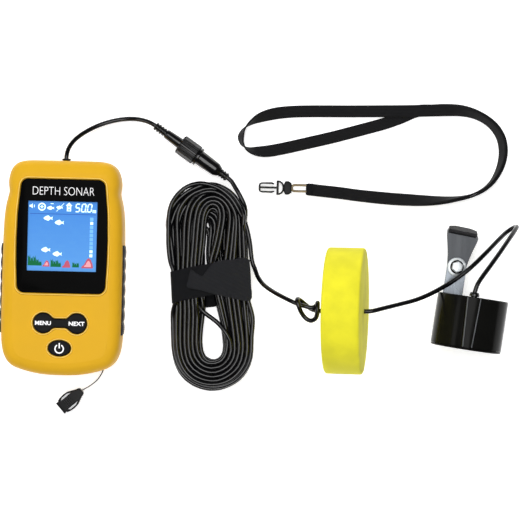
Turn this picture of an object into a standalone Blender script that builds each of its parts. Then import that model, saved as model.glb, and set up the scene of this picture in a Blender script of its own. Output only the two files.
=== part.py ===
"""Handheld sonar fish finder laid out flat on a table: the yellow handset, its lead and screw
connector, the wound cable with its strap, the foam float, the transducer with its bracket, the
wrist tether and the neck lanyard. The origin is the centre of the handset's flat back, +Y runs
towards the handset's cable end, +X towards the float and +Z is up."""

import math

import bmesh
import bpy
from mathutils import Matrix, Vector

MM = 0.001
GAP = 0.3 * MM

# Handset case. The side outline runs from the top centre down the right side, in millimetres.
CASE_SIDE = [
    (0, 65.6), (12, 65.6), (22, 65.4), (27.8, 64.2), (31.6, 61.2), (33.6, 56.6), (34.3, 51.5),
    (33.8, 46), (34.7, 41.8), (35.7, 37), (36.5, 29), (36.9, 14.5), (37.1, -12), (37.0, -36),
    (36.4, -47), (34.6, -54), (31, -59), (25, -62), (13, -64.8), (0, -65.5),
]
PARTING_Z = 13.0 * MM

# Shell sections as (height, inset from the outline), in millimetres, from the inside outwards.
FRONT_SECTIONS = [
    (25.6, 8.0), (24.6, 4.4), (21.5, 2.7), (13.3, 2.4), (13.3, 0.0),
    (19.0, 0.15), (23.5, 0.9), (26.4, 2.6), (28.2, 5.0), (29.0, 7.8),
]
REAR_SECTIONS = [
    (3.2, 5.5), (4.6, 3.0), (11.6, 2.4), (11.6, 1.2), (13.0, 1.2),
    (13.0, 0.0), (6.0, 0.1), (2.6, 0.7), (0.9, 1.9), (0.0, 4.2),
]
GASKET_SECTIONS = [(11.9, 1.5), (13.0, 1.5), (13.0, 2.2), (11.9, 2.2)]

# Side grips
GRIP_TOP_Y = 14.5 * MM
GRIP_BOTTOM_Y = -40.0 * MM
GRIP_INNER_X = 35.9 * MM
GRIP_OUTER_X = 37.0 * MM
GRIP_RIB_HEIGHT = 0.6 * MM
GRIP_RIBS = 7
GRIP_LOW_Z = 6.0 * MM
GRIP_HIGH_Z = 22.0 * MM

# Screen window, display and keys
WINDOW_TOP_Y = 53.7 * MM
WINDOW_BOTTOM_Y = -15.1 * MM
WINDOW_TOP_HALF = 25.5 * MM
WINDOW_MIDDLE_HALF = 27.5 * MM
WINDOW_BOTTOM_HALF = 26.7 * MM
WINDOW_CORNER = 4.5 * MM
WINDOW_LEDGE_Z = 26.9 * MM
SEAL_Z = (27.2 * MM, 27.6 * MM)
WINDOW_Z = (27.9 * MM, 28.8 * MM)
SCREEN_Y = 19.3 * MM
APERTURE_HALF = (23.0 * MM, 24.5 * MM)
MENU_KEY_Y = -33.3 * MM
LOBE_X = 10.15 * MM
LOBE_RADIUS = 6.0 * MM
NECK_HALF = 2.5 * MM
NECK_FILLET = 4.0 * MM
POWER_KEY_Y = -48.4 * MM
POWER_KEY_HALF = (6.75 * MM, 4.65 * MM)
KEY_CLEARANCE = 0.4 * MM
KEY_SECTIONS = [(22.4, 0.0), (22.7, 1.0), (24.0, 1.0), (24.2, 0.0), (29.3, 0.0), (29.8, -0.6)]
KEY_PIVOT_Z = 27.9 * MM

# Board and what sits on it
BOARD_HALF = (23.5 * MM, 56.0 * MM)
BOARD_Z = (16.6 * MM, 18.2 * MM)
BOARD_TOP = BOARD_Z[1] + GAP
SWITCH_SPOTS = [(-LOBE_X, MENU_KEY_Y), (LOBE_X, MENU_KEY_Y), (0.0, POWER_KEY_Y)]

# Battery bay: four AAA cells, 10.5 mm across and 44.5 mm long
CELL_RADIUS = 5.25 * MM
CELL_LENGTH = 44.5 * MM
CELL_PITCH = 10.9 * MM
CELL_Z = 7.55 * MM
BAY_HALF_X = 22.3 * MM
BAY_Y = (-55.5 * MM, -6.5 * MM)
BAY_TOP_Z = 13.3 * MM
BAY_WALL = 1.7 * MM
PLATE_THICKNESS = 0.4 * MM
DOOR_HALF_X = 24.7 * MM
DOOR_TOP_Y = -4.3 * MM
DOOR_Z = (0.35 * MM, 1.8 * MM)

# Case screws, from the back into the front case's posts
SCREW_SPOTS = [(28.0, -49.0), (-28.0, -49.0), (27.0, 51.5), (-27.0, 51.5)]

# Lanyard bar in the lower right corner of the rear case
BAR_CENTRE = Vector((25.3, -58.2, 6.3)) * MM
BAR_RADIUS = 1.0 * MM
BAR_HALF = 3.7 * MM

# Main cable, 2.8 mm across, and the screw connector on it
CABLE_RADIUS = 1.4 * MM
CORD_SIDES = 2
CONNECTOR_START = Vector((53.6, 88.9, 6.4)) * MM
CONNECTOR_END = Vector((98.8, 57.9, 6.4)) * MM
CONNECTOR_AXIS = (CONNECTOR_END - CONNECTOR_START).normalized()
NUT_RADIUS = 6.2 * MM
NUT_RIBS = 16

LEAD_ROUTE = [
    (-0.1, 67.3, 13.15), (0.1, 70, 12.8), (0.9, 73.3, 11.6), (2.8, 76.9, 9.9), (6.2, 80.8, 7.6),
    (11.5, 84.8, 5.2), (18, 88.4, 3.2), (25.3, 91.1, 2.1), (32.7, 92.7, 2.1), (40.1, 93.1, 3.0),
    (46.4, 92.1, 4.8), (50.6, 90.6, 6.1), (53.35, 89.07, 6.4),
]
HANK_LEAD_ROUTE = [
    (99.1, 57.7, 6.4), (100.9, 56.3, 6.5), (102.7, 53.6, 7.0), (103.9, 51.2, 7.8),
    (104.8, 49.2, 8.6),
]
FLOAT_LEAD_ROUTE = [
    (115.0, 6.5, 8.0), (116.9, 2.4, 8.6), (118.9, -2.6, 10.5), (122.6, -7.2, 15), (128.2, -11, 22),
    (134.4, -14.2, 28), (140.2, -16.8, 32.2), (144.3, -18.3, 34.4),
]
SENSOR_LEAD_ROUTE = [
    (158.0, -21.3, 37.26), (164.9, -21.3, 38.18), (171.8, -21.3, 39.1), (178.7, -21.3, 40.02),
    (184.0, -21.3, 40.73), (188.0, -20.9, 40.8), (194.5, -19.2, 39), (204.2, -16.7, 34.7),
    (214, -14.0, 30.5), (223.2, -10.2, 26.9), (232.4, -5.1, 24.4), (240.5, 0.3, 23.2),
    (248.8, 7.1, 22.3), (257.3, 15.4, 18.7), (265.2, 23.2, 11.4), (270.2, 27.8, 6.2),
    (273.7, 30.4, 4.4), (276.3, 32.0, 6.2), (277.0, 32.1, 10.2), (275.8, 30.6, 14.4),
    (273.0, 27.0, 19.2), (268.8, 21.5, 25), (263.9, 15.0, 30.5), (258.5, 7.9, 35.4),
    (253.6, 1.5, 39), (250.5, -3.2, 40.7), (248.84, -8.05, 41.0),
]

# Hank of the rest of the cable, with a hook-and-loop strap round its waist
HANK_CENTRE = Vector((89.3, -8.8, 0.0)) * MM
HANK_TILT = math.radians(4.2)
HANK_HALF_WIDTH = 24.25 * MM
HANK_HALF_LENGTH = 63.5 * MM
HANK_Z = (0.2 * MM, 13.2 * MM)
STRAP_CENTRE_X = 0.9 * MM
STRAP_HALF_WIDTH = 25.4 * MM
STRAP_HALF_LENGTH = 9.7 * MM
STRAP_THICKNESS = 1.4 * MM
STRAP_Z = (0.0, 14.6 * MM)

# Overhand knot that stops the float, as its outer shape
KNOT_CENTRE = Vector((151.4, -20.6, 36.2)) * MM
KNOT_RADIUS = 5.9 * MM
KNOT_HALF_HEIGHT = 2.8 * MM

# Foam float, standing on its rim
FLOAT_CENTRE = Vector((171.8, -21.3, 39.1)) * MM
FLOAT_LEAN = math.radians(7.6)
FLOAT_RADIUS = 38.0 * MM
FLOAT_HALF = 11.25 * MM
FLOAT_BORE = 2.0 * MM
FLOAT_EDGE = 1.5 * MM

# Transducer, lying on its side, and its bracket. The transducer's frame has +Y along its axis.
SENSOR_CENTRE = Vector((248.0, -27.2, 21.5)) * MM
SENSOR_TURN = math.radians(-7.3)
SENSOR_RADIUS = 21.5 * MM
RIDGE_X = -1.6 * MM
GLAND_Z = 19.5 * MM
BOLT_LOCAL = Vector((-12.03, 32.53, -21.5)) * MM
BRACKET_TURN = math.radians(-2.9)
TAB_HALF = 6.0 * MM
TAB_Z = (14.2 * MM, 15.7 * MM)
ARM_Z = (12.4 * MM, 13.9 * MM)
FLANGE_BEND = math.radians(72.0)
BOLT_HOLE = 2.4 * MM

# Tether from the lanyard bar to the female buckle, a 0.7 mm cord laid double
TETHER_RADIUS = 0.35 * MM
TETHER_ROUTE = [
    (12.3, -75.0, 3.4), (16.8, -72.3, 4.5), (21.6, -68.2, 6.4), (24.6, -63.4, 7.9),
    (25.3, -60.2, 8.2), (25.3, -58.2, 8.05), (25.3, -56.96, 7.54), (25.3, -56.45, 6.3),
    (25.3, -56.96, 5.06), (25.3, -58.2, 4.55), (25.3, -60.2, 4.5), (24.6, -63.4, 4.8),
    (21.6, -68.2, 4.1), (16.8, -72.3, 3.0), (12.3, -75.0, 2.4),
]
SOCKET_START = Vector((12.0, -75.2, 2.9)) * MM
SOCKET_TURN = math.radians(-138.5)
SOCKET_HALF_HEIGHT = 2.75 * MM

# Neck lanyard: buckle plug, knuckle, wire link and webbing 7.4 mm wide
PLUG_BASE = Vector((129.0, 52.8, 2.7)) * MM
WEBBING_HALF = 3.7 * MM
WEBBING_THICKNESS = 1.0 * MM
PLY_STEP = 1.3 * MM
FLOOR_GAP = 0.1 * MM
# Webbing routes as x, y in millimetres and the tilt of the webbing from flat, in degrees
DOUBLED_RUN = [
    (148.3, 52.3, 0), (158, 51.4, 0), (168.3, 50.5, 0), (178, 49.4, 0), (187, 48.6, 4),
    (196, 47.9, 10), (205.5, 47.4, 20), (215, 47.1, 33), (224.5, 47.1, 48), (233, 47.6, 65),
    (241, 48.7, 80), (249, 50.6, 88), (256, 54.0, 88), (261.5, 58.9, 84), (265.3, 65.2, 76),
    (267.6, 72, 68), (268.3, 79, 63), (267, 86, 62), (263.5, 92.2, 63), (258, 97.2, 64),
    (250.5, 101, 58), (242, 103, 42), (233, 103.3, 24), (224, 102.9, 8), (215, 102.4, 0),
]
UPPER_RUN = [
    (205, 102.0, 0), (195, 101.7, 0), (184, 101.4, 0), (172, 101.1, 0), (160, 100.9, 0),
    (148, 100.6, 0), (137, 100.0, 4), (127, 98.6, 16), (118.5, 96.0, 42), (112.4, 92.6, 74),
    (108.2, 88.6, 100), (106.3, 84.0, 118), (107.2, 79.5, 104), (110.4, 76.3, 74),
]
LOWER_RUN = [
    (115.8, 75.0, 40), (122.5, 75.2, 14), (130, 76.6, 2), (140, 79.0, 0), (151, 81.8, 0),
    (162, 84.6, 0), (173, 87.7, 0), (184, 90.9, 0), (195, 94.2, 0), (205, 98.0, 0),
]
CREST_X = (165.0 * MM, 190.0 * MM)


# Materials

def material(name, colour, roughness, metallic=0.0):
    made = bpy.data.materials.new(name)
    made.use_nodes = True
    shader = made.node_tree.nodes["Principled BSDF"]
    shader.inputs["Base Color"].default_value = (*colour, 1.0)
    shader.inputs["Roughness"].default_value = roughness
    shader.inputs["Metallic"].default_value = metallic
    made.diffuse_color = (*colour, 1.0)
    return made


# Geometry: a shape is a list of corner points and a list of faces

def shape_box(low, high):
    corners = [Vector((x, y, z)) for z in (low[2], high[2]) for y in (low[1], high[1])
               for x in (low[0], high[0])]
    faces = [(0, 2, 3, 1), (4, 5, 7, 6), (0, 1, 5, 4), (1, 3, 7, 5), (3, 2, 6, 7), (2, 0, 4, 6)]
    return corners, faces


def shape_loft(rings, closed=False):
    """Rings of equally many points joined into a skin, capped at both ends unless closed."""
    count = len(rings[0])
    points = [Vector(p) for ring in rings for p in ring]
    faces = []
    for i in range(len(rings) if closed else len(rings) - 1):
        a, b = i * count, (i + 1) % len(rings) * count
        for j in range(count):
            k = (j + 1) % count
            faces.append((a + j, a + k, b + k, b + j))
    if not closed:
        faces.append(tuple(reversed(range(count))))
        faces.append(tuple(range((len(rings) - 1) * count, len(rings) * count)))
    return points, faces


def shape_prism(outline, low, high):
    return shape_loft([[(x, y, z) for x, y in outline] for z in (low, high)])


def shape_turned(profile, segments, closed=False, groove=0.0, groove_from=1.0):
    """A profile of (radius, height) turned about Z. A closed profile goes round a bore. Every
    second point of a ring beyond the radius groove_from is set in by the groove's depth."""
    rings = []
    for radius, height in profile:
        ring = []
        for i in range(segments):
            angle = math.tau * i / segments
            r = radius - groove * (i % 2) if radius > groove_from else radius
            ring.append((r * math.cos(angle), r * math.sin(angle), height))
        rings.append(ring)
    return shape_loft(rings, closed)


def shape_cylinder(radius, low, high, segments=16):
    return shape_turned([(radius, low), (radius, high)], segments)


def moved(shape, matrix):
    points, faces = shape
    return [matrix @ Vector(p) for p in points], faces


def shifted(shape, x=0.0, y=0.0, z=0.0):
    return moved(shape, Matrix.Translation((x, y, z)))


def aimed(start, direction):
    """The matrix that takes the Z axis to a line from start along direction."""
    turn = Vector(direction).to_track_quat("Z", "Y").to_matrix().to_4x4()
    return Matrix.Translation(start) @ turn


def mirrored_outline(half):
    """A closed outline from its half with y >= 0, as (x, y) in millimetres."""
    other = [(x, -y) for x, y in reversed(half)]
    return [(x * MM, y * MM) for x, y in half + other]


def smooth_curve(points, steps):
    """Catmull-Rom curve through the points, with a number of steps for each span."""
    points = [Vector(p) for p in points]
    last = len(points) - 1
    found = []
    for i in range(last):
        a, b, c, d = points[max(i - 1, 0)], points[i], points[i + 1], points[min(i + 2, last)]
        for step in range(steps):
            t = step / steps
            found.append(0.5 * (2 * b + (c - a) * t + (2 * a - 5 * b + 4 * c - d) * t * t
                                + (3 * b - a - 3 * c + d) * t ** 3))
    return found + [points[-1]]


def inset(outline, distance):
    """A closed clockwise outline moved inwards, point by point."""
    count = len(outline)
    result = []
    for i in range(count):
        run = outline[(i + 1) % count] - outline[i - 1]
        outward = Vector((-run.y, run.x)).normalized()
        result.append(outline[i] - outward * distance)
    return result


# Objects

def frame(name, location, turn=0.0, parent=None):
    empty = bpy.data.objects.new(name, None)
    empty.location = location
    empty.rotation_euler = (0.0, 0.0, turn)
    empty.empty_display_size = 0.01
    empty.parent = parent
    bpy.context.scene.collection.objects.link(empty)
    return empty


def mesh_object(name, shapes, parent, pivot):
    mesh = bpy.data.meshes.new(name)
    build = bmesh.new()
    for points, faces in shapes:
        corners = [build.verts.new(Vector(p) - Vector(pivot)) for p in points]
        for face in faces:
            build.faces.new([corners[i] for i in face])
    bmesh.ops.recalc_face_normals(build, faces=build.faces)
    build.to_mesh(mesh)
    build.free()
    made = bpy.data.objects.new(name, mesh)
    made.location = pivot
    made.parent = parent
    bpy.context.scene.collection.objects.link(made)
    return made


def solid(name, shape, finish, parent=None, pivot=(0.0, 0.0, 0.0), sharp=35.0):
    made = mesh_object(name, [shape], parent, pivot)
    made.data.materials.append(finish)
    made.data.shade_smooth()
    made.data.set_sharp_from_angle(angle=math.radians(sharp))
    return made


def combine(target, operation, label, shapes):
    """Adds or removes separate shapes that are placed in the target's own frame."""
    tool = mesh_object(f"{target.name}_{label}", shapes, target.parent, target.location)
    tool.hide_render = True
    tool.display_type = "WIRE"
    modifier = target.modifiers.new(label, "BOOLEAN")
    modifier.operation = operation
    modifier.object = tool


def add(target, label, shapes):
    combine(target, "UNION", label, shapes)


def cut(target, label, shapes):
    combine(target, "DIFFERENCE", label, shapes)


def cord(name, route, radius, finish, steps=2):
    """A round cord as a curve with a bevel, on a smooth route in millimetres."""
    curve = bpy.data.curves.new(name, "CURVE")
    curve.dimensions = "3D"
    curve.bevel_depth = radius
    curve.bevel_resolution = CORD_SIDES
    curve.use_fill_caps = True
    points = smooth_curve(route, steps)
    spline = curve.splines.new("POLY")
    spline.points.add(len(points) - 1)
    for target, point in zip(spline.points, points):
        target.co = (*(point * MM), 1.0)
    curve.materials.append(finish)
    made = bpy.data.objects.new(name, curve)
    bpy.context.scene.collection.objects.link(made)
    return made


# Handset

def case_outline():
    side = CASE_SIDE[1:-1]
    points = CASE_SIDE + [(-x, y) for x, y in reversed(side)]
    return [Vector(p) * MM for p in points]


def case_rings(sections):
    outline = case_outline()
    return [[(p.x, p.y, z * MM) for p in inset(outline, d * MM)] for z, d in sections]


def arc(centre, radius, start, end, steps):
    angles = [math.radians(start + (end - start) * i / steps) for i in range(steps + 1)]
    return [(centre[0] + radius * math.cos(a), centre[1] + radius * math.sin(a)) for a in angles]


def window_outline(grow):
    """The window's outline, wider at the middle than at its ends, grown by a margin."""
    r = WINDOW_CORNER + grow
    top_x, low_x = WINDOW_TOP_HALF - WINDOW_CORNER, WINDOW_BOTTOM_HALF - WINDOW_CORNER
    top_y, low_y = WINDOW_TOP_Y - WINDOW_CORNER, WINDOW_BOTTOM_Y + WINDOW_CORNER
    right = arc((top_x, top_y), r, 90, 4, 4)
    right += [(WINDOW_MIDDLE_HALF + grow, 17.0 * MM)]
    right += arc((low_x, low_y), r, -3, -90, 4)
    return right + [(-x, y) for x, y in reversed(right)]


def dumbbell_outline(grow):
    """Two round lobes joined by a waisted neck."""
    lobe, fillet, neck = LOBE_RADIUS + grow, NECK_FILLET - grow, NECK_HALF + grow
    rise = neck + fillet
    reach = math.sqrt((lobe + fillet) ** 2 - rise ** 2)
    bend = math.degrees(math.atan2(rise, reach))
    upper = arc((LOBE_X, 0), lobe, 0, 180 - bend, 7)
    upper += arc((LOBE_X - reach, rise), fillet, -bend, -90, 2)
    upper += arc((reach - LOBE_X, rise), fillet, -90, bend - 180, 2)
    upper += arc((-LOBE_X, 0), lobe, bend, 180, 7)
    lower = [(x, -y) for x, y in reversed(upper[1:-1])]
    return [(x, y + MENU_KEY_Y) for x, y in upper + lower]


def power_outline(grow):
    count = 24
    angles = [math.tau * i / count for i in range(count)]
    return [((POWER_KEY_HALF[0] + grow) * math.cos(a),
             POWER_KEY_Y + (POWER_KEY_HALF[1] + grow) * math.sin(a)) for a in angles]


def make_front_case(finish):
    case = solid("front_case", shape_loft(case_rings(FRONT_SECTIONS)), finish)
    posts = [shifted(shape_cylinder(3.5 * MM, 6.3 * MM, 27.0 * MM, 12), x * MM, y * MM)
             for x, y in SCREW_SPOTS]
    add(case, "posts", posts)
    cut(case, "recess", [shape_prism(window_outline(GAP), WINDOW_LEDGE_Z, 31.0 * MM)])
    half_x, half_y = APERTURE_HALF
    aperture = shape_box((-half_x, SCREEN_Y - half_y, 22.0 * MM), (half_x, SCREEN_Y + half_y, 28.0 * MM))
    cut(case, "aperture", [aperture])
    keys = [shape_prism(outline(KEY_CLEARANCE), 22.0 * MM, 31.0 * MM)
            for outline in (dumbbell_outline, power_outline)]
    pilots = [shifted(shape_cylinder(1.5 * MM, 5.0 * MM, 18.0 * MM, 10), x * MM, y * MM)
              for x, y in SCREW_SPOTS]
    cut(case, "openings", keys + pilots + grip_recesses() + [gland_hole()])
    return case


def make_rear_case(finish):
    case = solid("rear_case", shape_loft(case_rings(REAR_SECTIONS)), finish)
    outer_x = BAY_HALF_X + BAY_WALL
    bay = shape_box((-outer_x, BAY_Y[0] - BAY_WALL, 2.0 * MM),
                    (outer_x, BAY_Y[1] + BAY_WALL, BAY_TOP_Z + 1.5 * MM))
    add(case, "bay", [bay])
    bosses = [shifted(shape_cylinder(4.2 * MM, 1.5 * MM, 6.0 * MM, 12), x * MM, y * MM)
              for x, y in SCREW_SPOTS]
    add(case, "bosses", bosses)
    corner = [(19.5, -61.4), (25.0, -60.8), (30.0, -58.2), (30.5, -54.0), (19.5, -54.0)]
    block = shape_prism([(x * MM, y * MM) for x, y in corner], 2.5 * MM, 11.5 * MM)
    add(case, "corner", [block])
    cut(case, "cells", [shape_box((-BAY_HALF_X, BAY_Y[0], -1.0 * MM), (BAY_HALF_X, BAY_Y[1], BAY_TOP_Z))])
    recess_x = DOOR_HALF_X + GAP
    cut(case, "door", [shape_box((-recess_x, -70.0 * MM, -1.0 * MM),
                                 (recess_x, DOOR_TOP_Y + GAP, DOOR_Z[1] + GAP))])
    heads = [shifted(shape_cylinder(3.1 * MM, -1.0 * MM, 3.2 * MM, 12), x * MM, y * MM)
             for x, y in SCREW_SPOTS]
    cut(case, "heads", heads)
    shanks = [shifted(shape_cylinder(1.5 * MM, 3.0 * MM, 7.0 * MM, 10), x * MM, y * MM)
              for x, y in SCREW_SPOTS]
    cut(case, "shanks", shanks + grip_recesses() + [gland_hole()])
    x, y, z = BAR_CENTRE
    notch = shape_box((x - 2.5 * MM, -66.0 * MM, z - 2.4 * MM), (x + 2.5 * MM, y + 2.4 * MM, z + 3.7 * MM))
    cut(case, "notch", [notch])
    hole = shape_cylinder(BAR_RADIUS + GAP, -BAR_HALF - GAP, BAR_HALF + GAP, 12)
    cut(case, "bar", [moved(hole, aimed(BAR_CENTRE, (1, 0, 0)))])
    return case


def grip_recesses():
    low, high = GRIP_LOW_Z - GAP, GRIP_HIGH_Z + GAP
    right = shape_box((GRIP_INNER_X - GAP, GRIP_BOTTOM_Y - GAP, low), (40 * MM, GRIP_TOP_Y + GAP, high))
    left = shape_box((-40 * MM, GRIP_BOTTOM_Y - GAP, low), (GAP - GRIP_INNER_X, GRIP_TOP_Y + GAP, high))
    return [right, left]


def gland_hole():
    hole = shape_cylinder(2.2 * MM, 60.0 * MM, 70.0 * MM, 16)
    return moved(hole, aimed((0, 0, PARTING_Z + GAP / 2), (0, 1, 0)))


def make_grip(name, side, finish):
    """A rubber strip whose outer face is a row of low rounded ribs."""
    per_rib = 4
    count = GRIP_RIBS * per_rib
    outline = [(GRIP_INNER_X, GRIP_TOP_Y)]
    for i in range(count + 1):
        y = GRIP_TOP_Y + (GRIP_BOTTOM_Y - GRIP_TOP_Y) * i / count
        rise = math.sin(math.pi * (i % per_rib) / per_rib)
        outline.append((GRIP_OUTER_X + GRIP_RIB_HEIGHT * rise, y))
    outline.append((GRIP_INNER_X, GRIP_BOTTOM_Y))
    outline = [(side * x, y) for x, y in outline]
    solid(name, shape_prism(outline, GRIP_LOW_Z, GRIP_HIGH_Z), finish)


def make_window(window, seal):
    solid("screen_window", shape_prism(window_outline(0.0), *WINDOW_Z), window)
    rings = [(SEAL_Z[0], -0.4), (SEAL_Z[1], -0.4), (SEAL_Z[1], -1.9), (SEAL_Z[0], -1.9)]
    shape = shape_loft([[(x, y, z) for x, y in window_outline(d * MM)] for z, d in rings], closed=True)
    solid("window_seal", shape, seal)


def make_keys(finish):
    def key(outline):
        return shape_loft([[(x, y, z * MM) for x, y in outline(d * MM)] for z, d in KEY_SECTIONS])

    solid("menu_key", key(dumbbell_outline), finish, pivot=(0.0, MENU_KEY_Y, KEY_PIVOT_Z))
    solid("power_key", key(power_outline), finish, pivot=(0.0, POWER_KEY_Y, KEY_PIVOT_Z))


def make_electronics(board, plastic, glass, metal):
    x, y = BOARD_HALF
    main = solid("main_board", shape_box((-x, -y, BOARD_Z[0]), (x, y, BOARD_Z[1])), board)
    chip = shape_box((6 * MM, -23 * MM, 17 * MM), (18 * MM, -11 * MM, 20 * MM))
    header = shape_box((-4 * MM, 49 * MM, 17 * MM), (4 * MM, 55 * MM, 23 * MM))
    add(main, "components", [chip, header])
    light_low, light_high = BOARD_TOP, BOARD_TOP + 3.3 * MM
    solid("backlight", shape_box((-22.5 * MM, SCREEN_Y - 23 * MM, light_low),
                                 (22.5 * MM, SCREEN_Y + 23 * MM, light_high)), plastic)
    solid("lcd_panel", shape_box((-25 * MM, SCREEN_Y - 26 * MM, light_high + GAP),
                                 (25 * MM, SCREEN_Y + 26 * MM, light_high + GAP + 3.1 * MM)), glass)
    buzzer = shape_turned([(6.0 * MM, BOARD_TOP), (6.0 * MM, 22 * MM), (1.0 * MM, 22 * MM),
                           (1.0 * MM, 21 * MM)], 16)
    solid("buzzer", shifted(buzzer, -13 * MM, -17 * MM), plastic)
    for number, (spot_x, spot_y) in enumerate(SWITCH_SPOTS, 1):
        half = 3.0 * MM
        square = [(-half, -half), (half, -half), (half, half), (-half, half)]
        body = shape_prism([(spot_x + a, spot_y + b) for a, b in square], BOARD_TOP, 20.8 * MM)
        switch = solid(f"key_switch_{number}", body, metal)
        plunger = shape_cylinder(1.7 * MM, 20.0 * MM, 21.45 * MM, 10)
        add(switch, "plunger", [shifted(plunger, spot_x, spot_y)])


def make_battery_bay(cell, contact, door):
    for number in range(4):
        nub_up = number % 2 == 0
        start_y = BAY_Y[1] - 2.25 * MM if nub_up else BAY_Y[0] + 2.25 * MM
        direction = (0, -1, 0) if nub_up else (0, 1, 0)
        x = (number - 1.5) * CELL_PITCH
        profile = [(1.9 * MM, 0.0), (1.9 * MM, 0.9 * MM), (CELL_RADIUS, 0.9 * MM), (CELL_RADIUS, CELL_LENGTH)]
        shape = moved(shape_turned(profile, 16), aimed((x, start_y, CELL_Z), direction))
        solid(f"battery_{number + 1}", shape, cell)
    plates = (("contact_plate_lower", BAY_Y[0] + PLATE_THICKNESS),
              ("contact_plate_upper", BAY_Y[1] - 2 * PLATE_THICKNESS))
    for name, y in plates:
        plate = shape_box((-21.5 * MM, y, 3.0 * MM), (21.5 * MM, y + PLATE_THICKNESS, 12.0 * MM))
        solid(name, plate, contact)
    half = [(DOOR_HALF_X, DOOR_TOP_Y), (DOOR_HALF_X, -58.8 * MM), (16 * MM, -60.9 * MM), (0.0, -62.2 * MM)]
    outline = half + [(-x, y) for x, y in reversed(half[:-1])]
    hatch = solid("battery_door", shape_prism(outline, *DOOR_Z), door)
    grooves = [shape_box((-8 * MM, y * MM, 0.0), (8 * MM, (y + 0.8) * MM, 0.8 * MM)) for y in (-52, -54, -56)]
    cut(hatch, "grooves", grooves)


def make_case_screws(steel):
    profile = [(2.2, 0.8), (2.8, 1.2), (2.8, 2.9), (1.2, 2.9), (1.2, 15.4), (0.5, 16.0)]
    shape = shape_turned([(r * MM, z * MM) for r, z in profile], 12)
    for number, (x, y) in enumerate(SCREW_SPOTS, 1):
        screw = solid(f"case_screw_{number}", shifted(shape, x * MM, y * MM), steel)
        slot = shape_box(((x - 1.6) * MM, (y - 0.35) * MM, 0.0), ((x + 1.6) * MM, (y + 0.35) * MM, 1.6 * MM))
        cut(screw, "slot", [slot])


def make_handset(paint, rubber, glass, black, board, metal, cell):
    make_front_case(paint)
    make_rear_case(paint)
    gasket = solid("case_gasket", shape_loft(case_rings(GASKET_SECTIONS), closed=True), rubber)
    cut(gasket, "gland", [gland_hole()])
    make_grip("grip_right", 1, rubber)
    make_grip("grip_left", -1, rubber)
    make_window(glass, rubber)
    make_keys(rubber)
    make_electronics(board, black, glass, metal)
    make_battery_bay(cell, metal, paint)
    make_case_screws(metal)
    profile = [(3.0, 61.0), (3.0, 62.9), (1.9, 62.9), (1.9, 65.9), (2.7, 65.9), (2.7, 66.6),
               (2.3, 67.0)]
    gland = shape_turned([(r * MM, y * MM) for r, y in profile], 16)
    solid("cable_gland", moved(gland, aimed((0, 0, PARTING_Z + GAP / 2), (0, 1, 0))), rubber)
    bar = shape_cylinder(BAR_RADIUS, -BAR_HALF, BAR_HALF, 12)
    solid("lanyard_bar", moved(bar, aimed(BAR_CENTRE, (1, 0, 0))), metal)


# Screw connector: profiles are (radius, distance along the connector) in millimetres

def ribbed_relief(start, end, thick, thin, ribs):
    """Profile of a strain relief whose rings alternate with grooves."""
    pitch = (end - start) / ribs
    profile = []
    for i in range(ribs):
        a = start + i * pitch
        profile += [(thick, a), (thick, a + 0.6 * pitch), (thin, a + 0.64 * pitch), (thin, a + 0.96 * pitch)]
    return profile


def in_metres(profile):
    return [(r * MM, d * MM) for r, d in profile]


def make_connector(black, rubber):
    place = aimed(CONNECTOR_START, CONNECTOR_AXIS)
    plug = ribbed_relief(0.0, 7.8, 1.95, 1.6, 4)
    plug += [(2.6, 7.9), (2.9, 9.0), (3.3, 17.9), (3.3, 20.3), (4.6, 20.3), (4.6, 22.0), (2.9, 22.0),
             (2.9, 30.4)]
    body = solid("plug_body", moved(shape_turned(in_metres(plug), 12), place), black)
    seal = in_metres([(3.2, 22.3), (4.4, 22.3), (4.4, 23.5), (3.2, 23.5)])
    solid("plug_seal", moved(shape_turned(seal, 16, closed=True), place), rubber)
    pins = []
    for number in range(3):
        angle = math.tau * number / 3
        offset = Matrix.Translation((1.5 * MM * math.cos(angle), 1.5 * MM * math.sin(angle), 0.0))
        pins.append(moved(shape_cylinder(0.5 * MM, 29.0 * MM, 33.2 * MM, 8), place @ offset))
    add(body, "pins", pins)
    r = NUT_RADIUS
    nut = [(3.7 * MM, 18.8 * MM), (r - 0.6 * MM, 18.8 * MM), (r, 19.5 * MM), (r, 30.8 * MM),
           (r - 0.5 * MM, 31.4 * MM), (5.0 * MM, 31.4 * MM), (5.0 * MM, 20.0 * MM), (3.7 * MM, 20.0 * MM)]
    shape = shape_turned(nut, 2 * NUT_RIBS, closed=True, groove=0.4 * MM, groove_from=5.1 * MM)
    solid("coupling_nut", moved(shape, place), black, pivot=CONNECTOR_START, sharp=20.0)
    socket = [(3.3, 34.0), (3.3, 23.9), (4.6, 23.9), (4.6, 31.8), (5.9, 31.8), (5.9, 33.2), (4.6, 33.4),
              (4.5, 38.0), (4.1, 46.0), (2.7, 48.9)]
    socket += ribbed_relief(49.0, 54.8, 2.1, 1.7, 4)
    solid("socket_body", moved(shape_turned(in_metres(socket), 12), place), black)


# Hank and strap, in a frame with +Y along the hank

def stadium(half_width, half_length, steps=8):
    straight = half_length - half_width
    outline = arc((0, straight), half_width, 0, 180, steps)
    return outline + arc((0, -straight), half_width, 180, 360, steps)


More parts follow.
